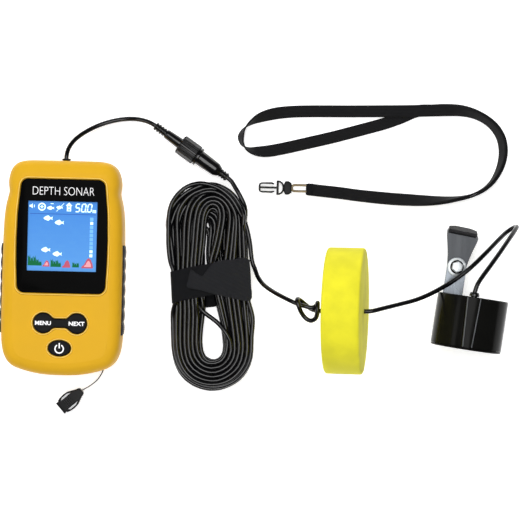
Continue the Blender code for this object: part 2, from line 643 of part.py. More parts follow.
def make_hank(cable, strap):
    base = frame("hank_frame", HANK_CENTRE, HANK_TILT)
    low, high = HANK_Z
    outline = stadium(HANK_HALF_WIDTH, HANK_HALF_LENGTH)
    hank = solid("cable_hank", shape_prism(outline, low, high), cable, base)
    reach = STRAP_HALF_LENGTH + GAP
    cut(hank, "waist", [shape_box((-40 * MM, -reach, -MM), (40 * MM, reach, 20 * MM))])
    core = shape_loft([[(x, y, z) for x, z in strap_section(STRAP_THICKNESS + GAP)]
                       for y in (-reach - MM, reach + MM)])
    add(hank, "core", [core])
    rings = []
    for y in (-STRAP_HALF_LENGTH, STRAP_HALF_LENGTH):
        rings.append([(x, y, z) for x, z in strap_section(0.0)])
    band = solid("hank_strap", shape_loft(rings), strap, base)
    hollow = [[(x, y, z) for x, z in strap_section(STRAP_THICKNESS)]
              for y in (-STRAP_HALF_LENGTH - MM, STRAP_HALF_LENGTH + MM)]
    cut(band, "inside", [shape_loft(hollow)])


def strap_section(thickness):
    """Rounded rectangle across the hank, as (x, z), set in by a thickness."""
    half_x = STRAP_HALF_WIDTH - thickness
    low, high = STRAP_Z[0] + thickness, STRAP_Z[1] - thickness
    r = 3.0 * MM - thickness
    corners = [(half_x - r, high - r, 0), (r - half_x, high - r, 90), (r - half_x, low + r, 180),
               (half_x - r, low + r, 270)]
    section = []
    for x, z, start in corners:
        section += arc((STRAP_CENTRE_X + x, z), r, start, start + 90, 3)
    return section


# Float and stop knot

def make_float(foam, cable):
    axis = Vector((math.cos(FLOAT_LEAN), 0.0, math.sin(FLOAT_LEAN)))
    r, half, edge = FLOAT_RADIUS, FLOAT_HALF, FLOAT_EDGE
    profile = [(FLOAT_BORE, -half), (r - edge, -half), (r, edge - half), (r, half - edge), (r - edge, half),
               (FLOAT_BORE, half)]
    shape = moved(shape_turned(profile, 40, closed=True), aimed(FLOAT_CENTRE, axis))
    solid("float", shape, foam, pivot=FLOAT_CENTRE)
    r, half = KNOT_RADIUS, KNOT_HALF_HEIGHT
    knot = shape_turned([(0.5 * r, -half), (r, -0.3 * half), (r, 0.3 * half), (0.5 * r, half)], 12)
    solid("stop_knot", moved(knot, Matrix.Translation(KNOT_CENTRE)), cable)


# Transducer, in a frame with +Y along its axis

def make_sensor(case_black, face_black, ceramic, cork, rubber):
    base = frame("sensor_frame", SENSOR_CENTRE, SENSOR_TURN)
    along = aimed((0, 0, 0), (0, 1, 0))
    r = SENSOR_RADIUS
    cup = [(18.9, 12.5), (18.9, -14.5), (21.5, -14.5), (21.5, 15.4), (20.9, 16.0)]
    case = solid("sensor_case", moved(shape_turned(in_metres(cup), 36), along), case_black, base)
    ridge = [[(RIDGE_X - w * MM, y * MM, 18.0 * MM), (RIDGE_X + w * MM, y * MM, 18.0 * MM),
              (RIDGE_X + (w - 0.5) * MM, y * MM, 22.8 * MM), (RIDGE_X - (w - 0.5) * MM, y * MM, 22.8 * MM)]
             for y, w in ((-14.5, 2.7), (15.6, 3.9))]
    outer_tube = shape_turned([(19.6 * MM, -20 * MM), (19.6 * MM, 13.0 * MM)], 36)
    wedge = solid("ridge_guide", shape_loft(ridge), case_black, base)
    cut(wedge, "tube", [moved(outer_tube, along)])
    wedge.hide_render = True
    wedge.display_type = "WIRE"
    union = case.modifiers.new("ridge", "BOOLEAN")
    union.operation = "UNION"
    union.object = wedge
    bolt_z = SENSOR_CENTRE.z
    slot = shape_box((BOLT_LOCAL.x - TAB_HALF - GAP, 9.5 * MM, TAB_Z[0] - bolt_z - GAP),
                     (BOLT_LOCAL.x + TAB_HALF + GAP, 20.0 * MM, TAB_Z[1] - bolt_z + GAP))
    gland_hole_shape = moved(shape_cylinder(2.2 * MM, 14.2 * MM, 20.0 * MM, 12),
                             Matrix.Translation((RIDGE_X, 0, GLAND_Z)) @ along)
    cut(case, "slot", [slot, gland_hole_shape])

    def disc(name, profile, finish, segments=24):
        solid(name, moved(shape_turned(in_metres(profile), segments), along), finish, base)

    disc("sensor_face", [(20.9, -16.0), (21.5, -15.4), (21.5, -14.8), (18.6, -14.8), (18.6, -12.4)],
         face_black, 36)
    disc("piezo_disc", [(12.5, -12.1), (12.5, -9.1)], ceramic)
    disc("cork_backing", [(14.0, -8.8), (14.0, -4.8)], cork)
    disc("sensor_potting", [(18.5, -4.5), (18.5, 8.5)], rubber)
    gland = [(1.9, 14.6), (1.9, 16.3), (3.0, 16.3), (3.0, 17.8), (2.4, 18.8)]
    shape = moved(shape_turned(in_metres(gland), 14), Matrix.Translation((RIDGE_X, 0, GLAND_Z)) @ along)
    solid("sensor_gland", shape, rubber, base)
    return base


# Bracket, in frames whose origin is the bolt's axis at table height

def make_bracket(sensor_frame, zinc, satin, rubber):
    bolt_frame = frame("bolt_frame", BOLT_LOCAL, 0.0, sensor_frame)
    arm_frame = frame("bracket_frame", BOLT_LOCAL, BRACKET_TURN, sensor_frame)
    hole = shape_cylinder(BOLT_HOLE, 0.0, 40.0 * MM, 16)
    tail = 22.5 * MM
    tab_outline = arc((0, 0), TAB_HALF, 0, 180, 10) + [(-TAB_HALF, -tail), (TAB_HALF, -tail)]
    tab = solid("sensor_tab", shape_prism(tab_outline, *TAB_Z), zinc, bolt_frame)
    cut(tab, "hole", [hole])

    thickness = ARM_Z[1] - ARM_Z[0]
    middle = sum(ARM_Z) / 2
    down = Vector((0, math.cos(FLANGE_BEND), -math.sin(FLANGE_BEND)))
    bend_y = 19.0 * MM
    stations = [(y * MM, w * MM) for y, w in
                ((-5.9, 1.4), (-5.2, 3.1), (-3.6, 4.9), (-1.6, 5.8), (1.0, 6.0), (6.0, 6.7), (12.0, 8.0),
                 (17.6, 9.5))]
    rings = [strip_ring(Vector((0, y, middle)), w, Vector((0, 0, 1)), thickness) for y, w in stations]
    half_normal = Vector((0, math.sin(FLANGE_BEND / 2), math.cos(FLANGE_BEND / 2)))
    rings.append(strip_ring(Vector((0, bend_y, middle)), 9.7 * MM, half_normal,
                            thickness / math.cos(FLANGE_BEND / 2)))
    normal = Vector((0, math.sin(FLANGE_BEND), math.cos(FLANGE_BEND)))
    for d, w in ((1.5, 9.7), (8.5, 9.3), (11.2, 5.4)):
        rings.append(strip_ring(Vector((0, bend_y, middle)) + down * d * MM, w * MM, normal, thickness))
    arm = solid("bracket_arm", shape_loft(rings), satin, arm_frame)
    cut(arm, "hole", [hole])
    lift = thickness / 2 + GAP + 0.9 * MM
    pad_start = Vector((0, bend_y, middle)) + normal * lift
    pad_rings = [strip_ring(pad_start + down * d * MM, w * MM, normal, 1.8 * MM)
                 for d, w in ((1.6, 8.9), (8.4, 8.7), (11.0, 5.0))]
    solid("bracket_pad", shape_loft(pad_rings), rubber, arm_frame)
    return bolt_frame


def strip_ring(centre, half_width, normal, thickness):
    """The four corners of a strip's section across X, with its thickness along a normal."""
    side = Vector((half_width, 0, 0))
    up = normal * thickness / 2
    return [centre - side - up, centre + side - up, centre + side + up, centre - side + up]


def make_bolt(bolt_frame, zinc):
    def hexagon(radius):
        return arc((0, 0), radius, 0, 300, 5)

    bolt = solid("tilt_bolt", shape_prism(hexagon(4.3 * MM), 17.2 * MM, 20.0 * MM), zinc, bolt_frame)
    add(bolt, "shank", [shape_cylinder(2.0 * MM, 7.4 * MM, 18.0 * MM, 16)])
    hole = shape_cylinder(BOLT_HOLE, 0.0, 40.0 * MM, 16)
    washer = shape_cylinder(5.65 * MM, 16.0 * MM, 16.9 * MM, 24)
    cut(solid("bolt_washer", washer, zinc, bolt_frame), "hole", [hole])
    lock = shape_cylinder(4.2 * MM, 11.3 * MM, 12.1 * MM, 16)
    cut(solid("lock_washer", lock, zinc, bolt_frame), "hole", [hole])
    nut = shape_prism(hexagon(4.4 * MM), 7.9 * MM, 11.0 * MM)
    cut(solid("bolt_nut", nut, zinc, bolt_frame), "hole", [hole])


# Tether buckle and neck lanyard

def make_tether_buckle(black):
    base = frame("tether_frame", SOCKET_START, SOCKET_TURN)
    half = [(0, 1.5), (0.8, 2.5), (2.6, 2.9), (4.6, 3.9), (7.5, 5.2), (10.5, 5.5), (13.5, 5.2), (15.3, 4.6),
            (15.6, 3.9), (17.3, 4.25)]
    h = SOCKET_HALF_HEIGHT
    socket = solid("buckle_socket", shape_prism(mirrored_outline(half), -h, h), black, base)
    window = [(6.2, 3.4), (14.4, 3.4), (12.9, 4.4), (8.3, 4.4)]
    windows = [shape_prism([(x * MM, side * y * MM) for x, y in window], -2 * h, 2 * h) for side in (1, -1)]
    mouth = shape_box((7 * MM, -2.9 * MM, -1.7 * MM), (20 * MM, 2.9 * MM, 1.7 * MM))
    cut(socket, "windows", windows + [mouth])


def make_lanyard(black, wire, webbing):
    base = frame("lanyard_frame", PLUG_BASE)
    prongs = [(0, 4.5), (0, 0.6), (-9.8, 0.6), (-9.8, 1.9), (-9.2, 2.15), (-3.0, 2.2), (-1.5, 1.8),
              (-1.2, 2.4), (-2.8, 3.2), (-9.3, 3.0), (-10.6, 2.4), (-11.1, 1.2)]
    ring = [(2.0, 4.4), (3.7, 3.3), (4.6, 1.7)]
    outline = list(reversed(ring)) + prongs
    h = 1.5 * MM
    plug = solid("buckle_plug", shape_prism(mirrored_outline(outline), -h, h), black, base)
    opening = mirrored_outline([(1.4, 3.4), (2.4, 3.1), (3.3, 1.9), (3.6, 0.9)])
    cut(plug, "opening", [shape_prism(opening, -2 * h, 2 * h)])
    knuckle = mirrored_outline([(4.95, 1.6), (5.6, 3.9), (6.3, 4.2), (7.6, 4.1), (9.2, 2.8)])
    solid("lanyard_knuckle", shape_prism(knuckle, -2.5 * MM, 2.5 * MM), black, base)
    start, end, half, r = 9.5 * MM + 0.6 * MM, 18.3 * MM, 2.1 * MM, 0.6 * MM
    path = arc((end - half, 0), half, -90, 90, 4) + arc((start + half, 0), half, 90, 270, 4)
    rings = []
    for i, (x, y) in enumerate(path):
        ahead, behind = path[(i + 1) % len(path)], path[i - 1]
        outward = Vector((ahead[1] - behind[1], behind[0] - ahead[0], 0)).normalized()
        angles = [math.tau * k / 6 for k in range(6)]
        rings.append([Vector((x, y, 0)) + r * (outward * math.cos(a) + Vector((0, 0, math.sin(a))))
                      for a in angles])
    solid("lanyard_link", shape_loft(rings, closed=True), wire, base)
    solid("lanyard_webbing", webbing_shape(), webbing, sharp=50.0)


def webbing_stations():
    """Centre, direction across and normal at each station round the webbing's loop. Its two plies
    lie on each other along the doubled run, which the loop follows out and back."""
    out = [(x, y, tilt, 1) for x, y, tilt in DOUBLED_RUN]
    single = [(x, y, tilt, 0) for x, y, tilt in UPPER_RUN + LOWER_RUN]
    back = [(x, y, -tilt, -1) for x, y, tilt in reversed(DOUBLED_RUN)]
    route = out + single + back
    stations = []
    for i, (x, y, tilt, ply) in enumerate(route):
        before, after = route[max(i - 1, 0)], route[min(i + 1, len(route) - 1)]
        run = Vector((after[0] - before[0], after[1] - before[1], 0.0)).normalized()
        left = Vector((-run.y, run.x, 0.0))
        angle = math.radians(tilt)
        across = left * math.cos(angle) - Vector((0, 0, 1)) * math.sin(angle)
        normal = left * math.sin(angle) + Vector((0, 0, 1)) * math.cos(angle)
        rise = WEBBING_HALF * abs(math.sin(angle)) + WEBBING_THICKNESS / 2 * abs(math.cos(angle)) + FLOOR_GAP
        height = rise + crest(i, x * MM, len(DOUBLED_RUN), len(UPPER_RUN))
        centre = Vector((x * MM, y * MM, height))
        if ply:
            centre += Vector((0, 0, PLY_STEP / 2 * abs(math.cos(angle)))) + normal * ply * PLY_STEP / 2
        stations.append((centre, across, normal))
    return stations


def crest(index, x, first, count):
    """How far the upper run is raised where it lies on the lower run."""
    if not first <= index < first + count:
        return 0.0
    share = min(max((x - CREST_X[0]) / (CREST_X[1] - CREST_X[0]), 0.0), 1.0)
    return PLY_STEP * share


def webbing_shape():
    rings = []
    for centre, across, normal in webbing_stations():
        side, up = across * WEBBING_HALF, normal * WEBBING_THICKNESS / 2
        rings.append([centre - side - up, centre + side - up, centre + side + up, centre - side + up])
    return shape_loft(rings)


def make_cords(cable, thread):
    cord("handset_lead", LEAD_ROUTE, CABLE_RADIUS, cable)
    cord("hank_lead", HANK_LEAD_ROUTE, CABLE_RADIUS, cable)
    cord("float_lead", FLOAT_LEAD_ROUTE, CABLE_RADIUS, cable)
    cord("sensor_lead", SENSOR_LEAD_ROUTE, CABLE_RADIUS, cable)
    cord("tether_cord", TETHER_ROUTE, TETHER_RADIUS, thread, steps=1)


def main():
    for existing in list(bpy.data.objects):
        bpy.data.objects.remove(existing, do_unlink=True)
    paint = material("case_yellow", (0.84, 0.46, 0.05), 0.42)
    rubber = material("black_rubber", (0.02, 0.02, 0.02), 0.7)
    glass = material("screen_glass", (0.02, 0.02, 0.018), 0.12)
    black = material("black_plastic", (0.018, 0.018, 0.02), 0.35)
    board = material("board_green", (0.02, 0.16, 0.07), 0.5)
    zinc = material("zinc_plate", (0.72, 0.74, 0.76), 0.28, 1.0)
    satin = material("satin_steel", (0.3, 0.31, 0.33), 0.45, 1.0)
    cell = material("cell_wrap", (0.1, 0.12, 0.35), 0.3)
    cable = material("cable_jacket", (0.02, 0.02, 0.022), 0.4)
    strap = material("strap_fabric", (0.03, 0.031, 0.034), 0.9)
    foam = material("float_foam", (0.88, 0.84, 0.08), 0.85)
    gloss = material("sensor_gloss", (0.01, 0.01, 0.008), 0.15)
    ceramic = material("piezo_ceramic", (0.75, 0.7, 0.6), 0.5)
    cork = material("cork", (0.45, 0.3, 0.16), 0.9)
    brass = material("wire_link", (0.62, 0.55, 0.42), 0.3, 1.0)
    webbing = material("webbing", (0.03, 0.03, 0.031), 0.85)
    make_handset(paint, rubber, glass, black, board, zinc, cell)
    make_connector(black, rubber)
    make_hank(cable, strap)
    make_float(foam, cable)
    sensor_frame = make_sensor(gloss, gloss, ceramic, cork, rubber)
    bolt_frame = make_bracket(sensor_frame, zinc, satin, rubber)
    make_bolt(bolt_frame, zinc)
    make_tether_buckle(black)
    make_lanyard(black, brass, webbing)
    make_cords(cable, rubber)


main()
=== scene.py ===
"""The looks of a handheld sonar fish finder, laid out flat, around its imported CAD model. Lengths
are in millimetres until a point goes into a mesh, unless a comment says otherwise."""

import math

import bmesh
import bpy
import numpy as np
from mathutils import Matrix, Vector


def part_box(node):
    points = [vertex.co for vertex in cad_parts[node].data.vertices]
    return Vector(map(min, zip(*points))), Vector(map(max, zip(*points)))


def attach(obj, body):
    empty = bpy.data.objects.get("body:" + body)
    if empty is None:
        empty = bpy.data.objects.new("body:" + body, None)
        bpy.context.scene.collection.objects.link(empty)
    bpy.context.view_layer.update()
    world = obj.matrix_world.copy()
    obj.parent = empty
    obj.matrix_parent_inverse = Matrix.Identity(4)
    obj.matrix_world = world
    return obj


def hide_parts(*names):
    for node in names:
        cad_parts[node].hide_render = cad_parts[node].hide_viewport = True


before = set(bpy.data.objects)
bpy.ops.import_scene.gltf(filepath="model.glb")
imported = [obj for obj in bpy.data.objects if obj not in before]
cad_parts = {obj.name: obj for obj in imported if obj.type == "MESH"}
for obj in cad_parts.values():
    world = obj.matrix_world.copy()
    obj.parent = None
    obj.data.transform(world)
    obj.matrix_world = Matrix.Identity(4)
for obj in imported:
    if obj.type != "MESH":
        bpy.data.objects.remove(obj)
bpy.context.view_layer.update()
MM = 0.001

# Camera, straight above the table
CAMERA_SPOT = (119.9, 7.9)
CAMERA_HEIGHT = 1207.0
CAMERA_LENS = 135.0
SENSOR_WIDTH = 36.0
CAMERA_ROLL = math.radians(1.4)
# Soft lamps in metres and watts: name, place, size, power and whether gloss shows them
LAMPS = [
    ("top_light", (0.12, 0.02, 1.5), (0.95, 0.95), 11.0, True),
    ("key_light", (0.0, 1.15, 1.5), (1.4, 0.9), 21.0, False),
    ("left_light", (-1.1, 0.0, 1.2), (1.6, 0.4), 4.0, True),
    ("fill_light", (0.1, -1.25, 1.0), (1.4, 0.5), 5.0, False),
]
LAMP_AIM = Vector((0.12, 0.0, 0.0))
# The table, a little below the part so that no face lies in it
TABLE_HALF = 3000.0
TABLE_TOP = -0.05

# Main cable: the routes outside the hank, as in the CAD model
CABLE_WIDTH = 2.8
LEAD_ROUTE = [
    (0.0, 64.5, 13.15), (-0.1, 67.3, 13.15), (0.1, 70, 12.8), (0.9, 73.3, 11.6), (2.8, 76.9, 9.9),
    (6.2, 80.8, 7.6), (11.5, 84.8, 5.2), (18, 88.4, 3.2), (25.3, 91.1, 2.1), (32.7, 92.7, 2.1),
    (40.1, 93.1, 3.0), (46.4, 92.1, 4.8), (50.6, 90.6, 6.1), (53.35, 89.07, 6.4), (55.2, 87.8, 6.4),
]
HANK_LEAD_ROUTE = [
    (97.2, 59.0, 6.4), (99.1, 57.7, 6.4), (100.9, 56.3, 6.5), (102.7, 53.6, 7.0), (103.9, 51.2, 7.8),
    (104.8, 49.2, 8.6),
]
FLOAT_LEAD_ROUTE = [
    (115.0, 6.5, 8.0), (116.9, 2.4, 8.6), (118.9, -2.6, 10.5), (122.6, -7.2, 15), (128.2, -11, 22),
    (134.4, -14.2, 28), (140.2, -16.8, 32.2),
]
KNOT_ROUTE = [
    (144.3, -18.4, 33.6), (147.5, -19.2, 33.3), (151.0, -20.0, 33.3), (153.6, -19.4, 33.9),
    (154.9, -17.6, 35.6), (155.0, -17.0, 38.0), (155.0, -19.8, 39.9), (154.9, -23.4, 39.5),
    (153.9, -26.4, 37.4), (151.2, -27.8, 35.6), (148.2, -26.4, 35.0), (145.6, -23.2, 35.6),
    (143.9, -19.6, 37.0), (142.9, -16.4, 36.6), (143.1, -15.0, 34.0), (144.9, -15.9, 31.4),
    (147.8, -18.2, 30.3), (151.0, -20.6, 30.9), (154.2, -21.7, 33.8), (156.8, -21.8, 36.5),
    (159.4, -21.5, 37.4),
]
SENSOR_LEAD_ROUTE = [
    (164.9, -21.3, 38.18), (171.8, -21.3, 39.1), (178.7, -21.3, 40.02), (184.0, -21.3, 40.73),
    (188.0, -20.9, 40.8), (194.5, -19.2, 39), (204.2, -16.7, 34.7), (214, -14.0, 30.5),
    (223.2, -10.2, 26.9), (232.4, -5.1, 24.4), (240.5, 0.3, 23.2), (248.8, 7.1, 22.3),
    (257.3, 15.4, 18.7), (265.2, 23.2, 11.4), (270.2, 27.8, 6.2), (273.7, 30.4, 4.4),
    (276.3, 32.0, 6.2), (277.0, 32.1, 10.2), (275.8, 30.6, 14.4), (273.0, 27.0, 19.2),
    (268.8, 21.5, 25), (263.9, 15.0, 30.5), (258.5, 7.9, 35.4), (253.6, 1.5, 39),
    (250.5, -3.2, 40.7), (248.84, -8.05, 41.0), (248.5, -10.6, 41.0),
]

# Hank of cable, in its own frame with +Y along it
HANK_CENTRE = np.array((89.3, -8.8, 0.0))
HANK_TILT = math.radians(4.2)
HANK_TURNS = 27
COLUMNS = 7
LAYER_HEIGHT = 2.45
POINT_STEP = 2.6
OUTER_HALF_WIDTH = 22.85
OUTER_STRAIGHT = 39.25
# The innermost turns: heights along the hank, then the gap's middle and half width there. The
# last of each depends on the layer, from the lowest to the highest.
GAP_Y = [-39.6, -30.0, -14.0, 0.0, 12.0, 25.0]
GAP_MIDDLE = [0.0, 0.0, 0.0, -1.0, -2.4]
GAP_HALF = [8.6, 8.4, 5.9, 4.4, 3.2]
GAP_MIDDLE_25 = [-2.2, -2.0, 0.8, 1.2]
GAP_HALF_25 = [1.7, 1.8, 4.0, 4.2]
UPPER_FOLD_X = [-1.5, -0.8, 4.4, 5.2]
UPPER_FOLD_Y = [34.0, 37.0, 44.5, 46.3]
UPPER_FOLD_RADIUS = [3.6, 3.8, 4.9, 5.1]
# Strands out of line: turn, quarter of the turn, how far outwards, and where along the leg and over
# what length. The first one crosses the gap.
STRAYS = [(22, 0, -18.0, -8.0, 14.0), (27, 0, 3.4, -21.8, 9.0), (14, 2, 2.6, 27.0, 10.0)]
LOOSE_TURN = 27
# The turns settle in rounds. In each, a share of what is left of these is put right.
RELAX_ROUNDS = 150
BEND_SHARE = 0.12
SMOOTH_SHARE = 0.22
RETURN_SHARE = 0.035
# Room for the cable's middle inside the strap, and how it widens away from it
ROOM_LENGTH = 10.5
ROOM_FADE = 14
ROOM_LOW, ROOM_HIGH = 2.95, 11.75
ROOM_HALF_WIDTH = 22.5

# Strap round the hank's waist
STRAP_MIDDLE_X = 0.9
STRAP_HALF_WIDTH = 25.4
STRAP_HALF_LENGTH = 9.7
STRAP_HEIGHT = 14.6
STRAP_THICKNESS = 1.2
STRAP_RISE = 5.4
STRAP_SAG = 4.2


# Camera, light and table

def make_stage():
    data = bpy.data.cameras.new("camera")
    data.lens = CAMERA_LENS
    data.sensor_width = SENSOR_WIDTH
    camera = bpy.data.objects.new("camera", data)
    camera.location = (CAMERA_SPOT[0] * MM, CAMERA_SPOT[1] * MM, CAMERA_HEIGHT * MM)
    camera.rotation_euler = (0.0, 0.0, CAMERA_ROLL)
    bpy.context.scene.collection.objects.link(camera)
    bpy.context.scene.camera = camera
    bpy.context.scene.view_settings.view_transform = "Standard"

    for name, spot, size, power, glossy in LAMPS:
        light = bpy.data.lights.new(name, "AREA")
        light.shape = "RECTANGLE"
        light.size, light.size_y = size
        light.energy = power
        made = bpy.data.objects.new(name, light)
        made.location = spot
        made.visible_glossy = glossy
        made.rotation_euler = (LAMP_AIM - Vector(spot)).to_track_quat("-Z", "Y").to_euler()
        bpy.context.scene.collection.objects.link(made)

    world = bpy.data.worlds.new("studio")
    world.use_nodes = True
    world.node_tree.nodes["Background"].inputs["Color"].default_value = (1.0, 1.0, 1.0, 1.0)
    world.node_tree.nodes["Background"].inputs["Strength"].default_value = 0.06
    bpy.context.scene.world = world

    half = TABLE_HALF
    corners = [(x, y, TABLE_TOP) for x, y in ((-half, -half), (half, -half), (half, half), (-half, half))]
    floor = new_object("table", (corners, [(0, 1, 2, 3)]), None)
    finish, _, shader = new_material("table_white")
    shader.inputs["Base Color"].default_value = (0.93, 0.93, 0.93, 1.0)
    shader.inputs["Roughness"].default_value = 0.9
    shader.inputs["Emission Color"].default_value = (1.0, 1.0, 1.0, 1.0)
    shader.inputs["Emission Strength"].default_value = 0.55
    floor.data.materials.append(finish)


# Shapes: a list of corner points in millimetres and a list of faces

def arc(centre, radius, start, end, steps):
    angles = [math.radians(start + (end - start) * i / steps) for i in range(steps + 1)]
    return [(centre[0] + radius * math.cos(a), centre[1] + radius * math.sin(a)) for a in angles]


def smooth_curve(points, steps, closed=False):
    """Catmull-Rom curve through the points, with a number of steps for each span."""
    points = [Vector(p) for p in points]
    count = len(points)
    found = []
    for i in range(count if closed else count - 1):
        if closed:
            a, b, c, d = points[i - 1], points[i], points[(i + 1) % count], points[(i + 2) % count]
        else:
            a, b, c, d = points[max(i - 1, 0)], points[i], points[i + 1], points[min(i + 2, count - 1)]
        for step in range(steps):
            t = step / steps
            found.append(0.5 * (2 * b + (c - a) * t + (2 * a - 5 * b + 4 * c - d) * t * t
                                + (3 * b - a - 3 * c + d) * t ** 3))
    return found if closed else found + [points[-1]]


def inset(outline, distance):
    """A closed clockwise outline moved inwards, point by point."""
    count = len(outline)
    result = []
    for i in range(count):
        run = outline[(i + 1) % count] - outline[i - 1]
        outward = Vector((-run.y, run.x)).normalized()
        result.append(outline[i] - outward * distance)
    return result


def loft(rings, closed=False):
    """Rings of equally many points joined into a skin, capped at both ends unless closed."""
    count = len(rings[0])
    points = [Vector(p) for ring in rings for p in ring]
    faces = []
    for i in range(len(rings) if closed else len(rings) - 1):
        a, b = i * count, (i + 1) % len(rings) * count
        for j in range(count):
            k = (j + 1) % count
            faces.append((a + j, a + k, b + k, b + j))
    if not closed:
        faces.append(tuple(reversed(range(count))))
        faces.append(tuple(range((len(rings) - 1) * count, len(rings) * count)))
    return points, faces


def prism(outline, low, high, edge=0.0):
    """An outline with height. With an edge, its corners above and below are rounded by it."""
    if not edge:
        return loft([[(x, y, z) for x, y in outline] for z in (low, high)])
    flat = [Vector((p[0], p[1])) for p in outline]
    rings = []
    for step in range(5):
        a = math.radians(90 * step / 4)
        rings.append((high - edge + edge * math.sin(a), edge * (1 - math.cos(a))))
    sections = [(low + high - z, d) for z, d in reversed(rings)] + rings
    return loft([[(p.x, p.y, z) for p in inset(flat, d)] for z, d in sections])


def box(low, high):
    (x0, y0, z0), (x1, y1, z1) = low, high
    return prism([(x0, y1), (x1, y1), (x1, y0), (x0, y0)], z0, z1)


def turned(profile, segments=64, closed=False, ribs=0, depth=0.0, ribs_from=0.0):
    """A profile of (radius, height) turned about Z. A closed profile goes round a bore. Ribs are
    cut lengthwise by a depth, where the radius is over ribs_from."""
    rings = []
    for radius, height in profile:
        ring = []
        for i in range(segments):
            angle = math.tau * i / segments
            r = radius
            if ribs and radius > ribs_from:
                wave = math.cos(ribs * angle)
                r -= depth * min(max(0.5 - 1.6 * wave, 0.0), 1.0)
            ring.append((r * math.cos(angle), r * math.sin(angle), height))
        rings.append(ring)
    return loft(rings, closed)


def rounded(profile, radius):
    """A profile whose corners are rounded, each by up to the radius."""
    steps = 3
    points = [Vector(p) for p in profile]
    found = [points[0]]
    for before, corner, after in zip(points, points[1:], points[2:]):
        back, ahead = before - corner, after - corner
        reach = min(radius, back.length * 0.45, ahead.length * 0.45)
        start, end = corner + back.normalized() * reach, corner + ahead.normalized() * reach
        for step in range(steps + 1):
            t = step / steps
            found.append(start.lerp(corner, t).lerp(corner.lerp(end, t), t))
    return found + [points[-1]]


def bead(line, radius, closed=True, sides=8):
    """A round bar along a line of points at one height."""
    points = [Vector(p) for p in line]
    points = [p for i, p in enumerate(points) if (p - points[i - 1]).length > 1e-4]
    count = len(points)
    rings = []
    for i, point in enumerate(points):
        ahead = points[(i + 1) % count] if closed or i + 1 < count else point
        behind = points[i - 1] if closed or i else point
        side = Vector((ahead.y - behind.y, behind.x - ahead.x, 0.0)).normalized()
        ring = []
        for k in range(sides):
            a = math.tau * k / sides
            ring.append(point + radius * (side * math.cos(a) + Vector((0, 0, math.sin(a)))))
        rings.append(ring)
    return loft(rings, closed)


def moved(shape, matrix):
    points, faces = shape
    return [matrix @ Vector(p) for p in points], faces


def aimed(start, direction):
    """The matrix that takes the Z axis to a line from start along direction."""
    turn = Vector(direction).to_track_quat("Z", "Y").to_matrix().to_4x4()
    return Matrix.Translation(start) @ turn


def placed(x, y, z, turn):
    return Matrix.Translation((x, y, z)) @ Matrix.Rotation(turn, 4, "Z")


def joined(*shapes):
    points, faces = [], []
    for more, rows in shapes:
        start = len(points)
        points += list(more)
        faces += [tuple(start + i for i in row) for row in rows]
    return points, faces


# Objects

def new_object(name, shape, finish, sharp=35.0):
    points, faces = shape
    mesh = bpy.data.meshes.new(name)
    build = bmesh.new()
    corners = [build.verts.new(Vector(p) * MM) for p in points]
    for face in faces:
        build.faces.new([corners[i] for i in face])
    bmesh.ops.recalc_face_normals(build, faces=build.faces)
    build.to_mesh(mesh)
    build.free()
    if finish:
        mesh.materials.append(FINISHES[finish])
    mesh.shade_smooth()
    mesh.set_sharp_from_angle(angle=math.radians(sharp))
    made = bpy.data.objects.new(name, mesh)
    bpy.context.scene.collection.objects.link(made)
    return made


def combine(target, operation, shapes):
    """Adds or removes separate shapes and keeps the result as the target's own mesh."""
    tool = new_object("tool", joined(*shapes), None)
    modifier = target.modifiers.new("combine", "BOOLEAN")
    modifier.operation = operation
    modifier.object = tool
    made = baked(target)
    bpy.data.objects.remove(tool)
    made.data.shade_smooth()
    made.data.set_sharp_from_angle(angle=math.radians(35.0))
    return made


def flattened(piece):
    """Leaves the level faces on top unsmoothed, so their shading is even."""
    for polygon in piece.data.polygons:
        if polygon.normal.z > 0.9999:
            polygon.use_smooth = False


def baked(piece):
    """Applies the piece's modifiers."""
    view = bpy.context.evaluated_depsgraph_get()
    mesh = bpy.data.meshes.new_from_object(piece.evaluated_get(view))
    piece.modifiers.clear()
    piece.data = mesh
    return piece


def cut(target, *shapes):
    return combine(target, "DIFFERENCE", shapes)


def bevelled(piece, width):
    modifier = piece.modifiers.new("edges", "BEVEL")
    modifier.width = width * MM
    modifier.segments = 2
    modifier.limit_method = "ANGLE"
    modifier.angle_limit = math.radians(35.0)
    modifier.use_clamp_overlap = True
    modifier.harden_normals = True
    return baked(piece)


def assign(piece, body, slot, *nodes):
    """Lets a piece ride on a body, and hides the CAD nodes that it stands for. The slot is not used."""
    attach(piece, body)
    if nodes:
        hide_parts(*nodes)
    return piece


def add(name, shape, finish, body, slot, *nodes):
    """A new piece that needs no cutting, put on its body at once."""
    return assign(new_object(name, shape, finish), body, slot, *nodes)


def refined(name, node, body, slot, finish, width):
    """A CAD node's own shape with rounded edges."""
    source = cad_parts[node]
    piece = bpy.data.objects.new(name, source.data.copy())
    bpy.context.scene.collection.objects.link(piece)
    piece.data.materials.clear()
    piece.data.materials.append(FINISHES[finish])
    for polygon in piece.data.polygons:
        polygon.material_index = 0
    weld = piece.modifiers.new("weld", "WELD")
    weld.merge_threshold = 0.00001
    baked(piece)
    piece.data.shade_smooth()
    piece.data.set_sharp_from_angle(angle=math.radians(30.0))
    bevelled(piece, width)
    return assign(piece, body, slot, node)


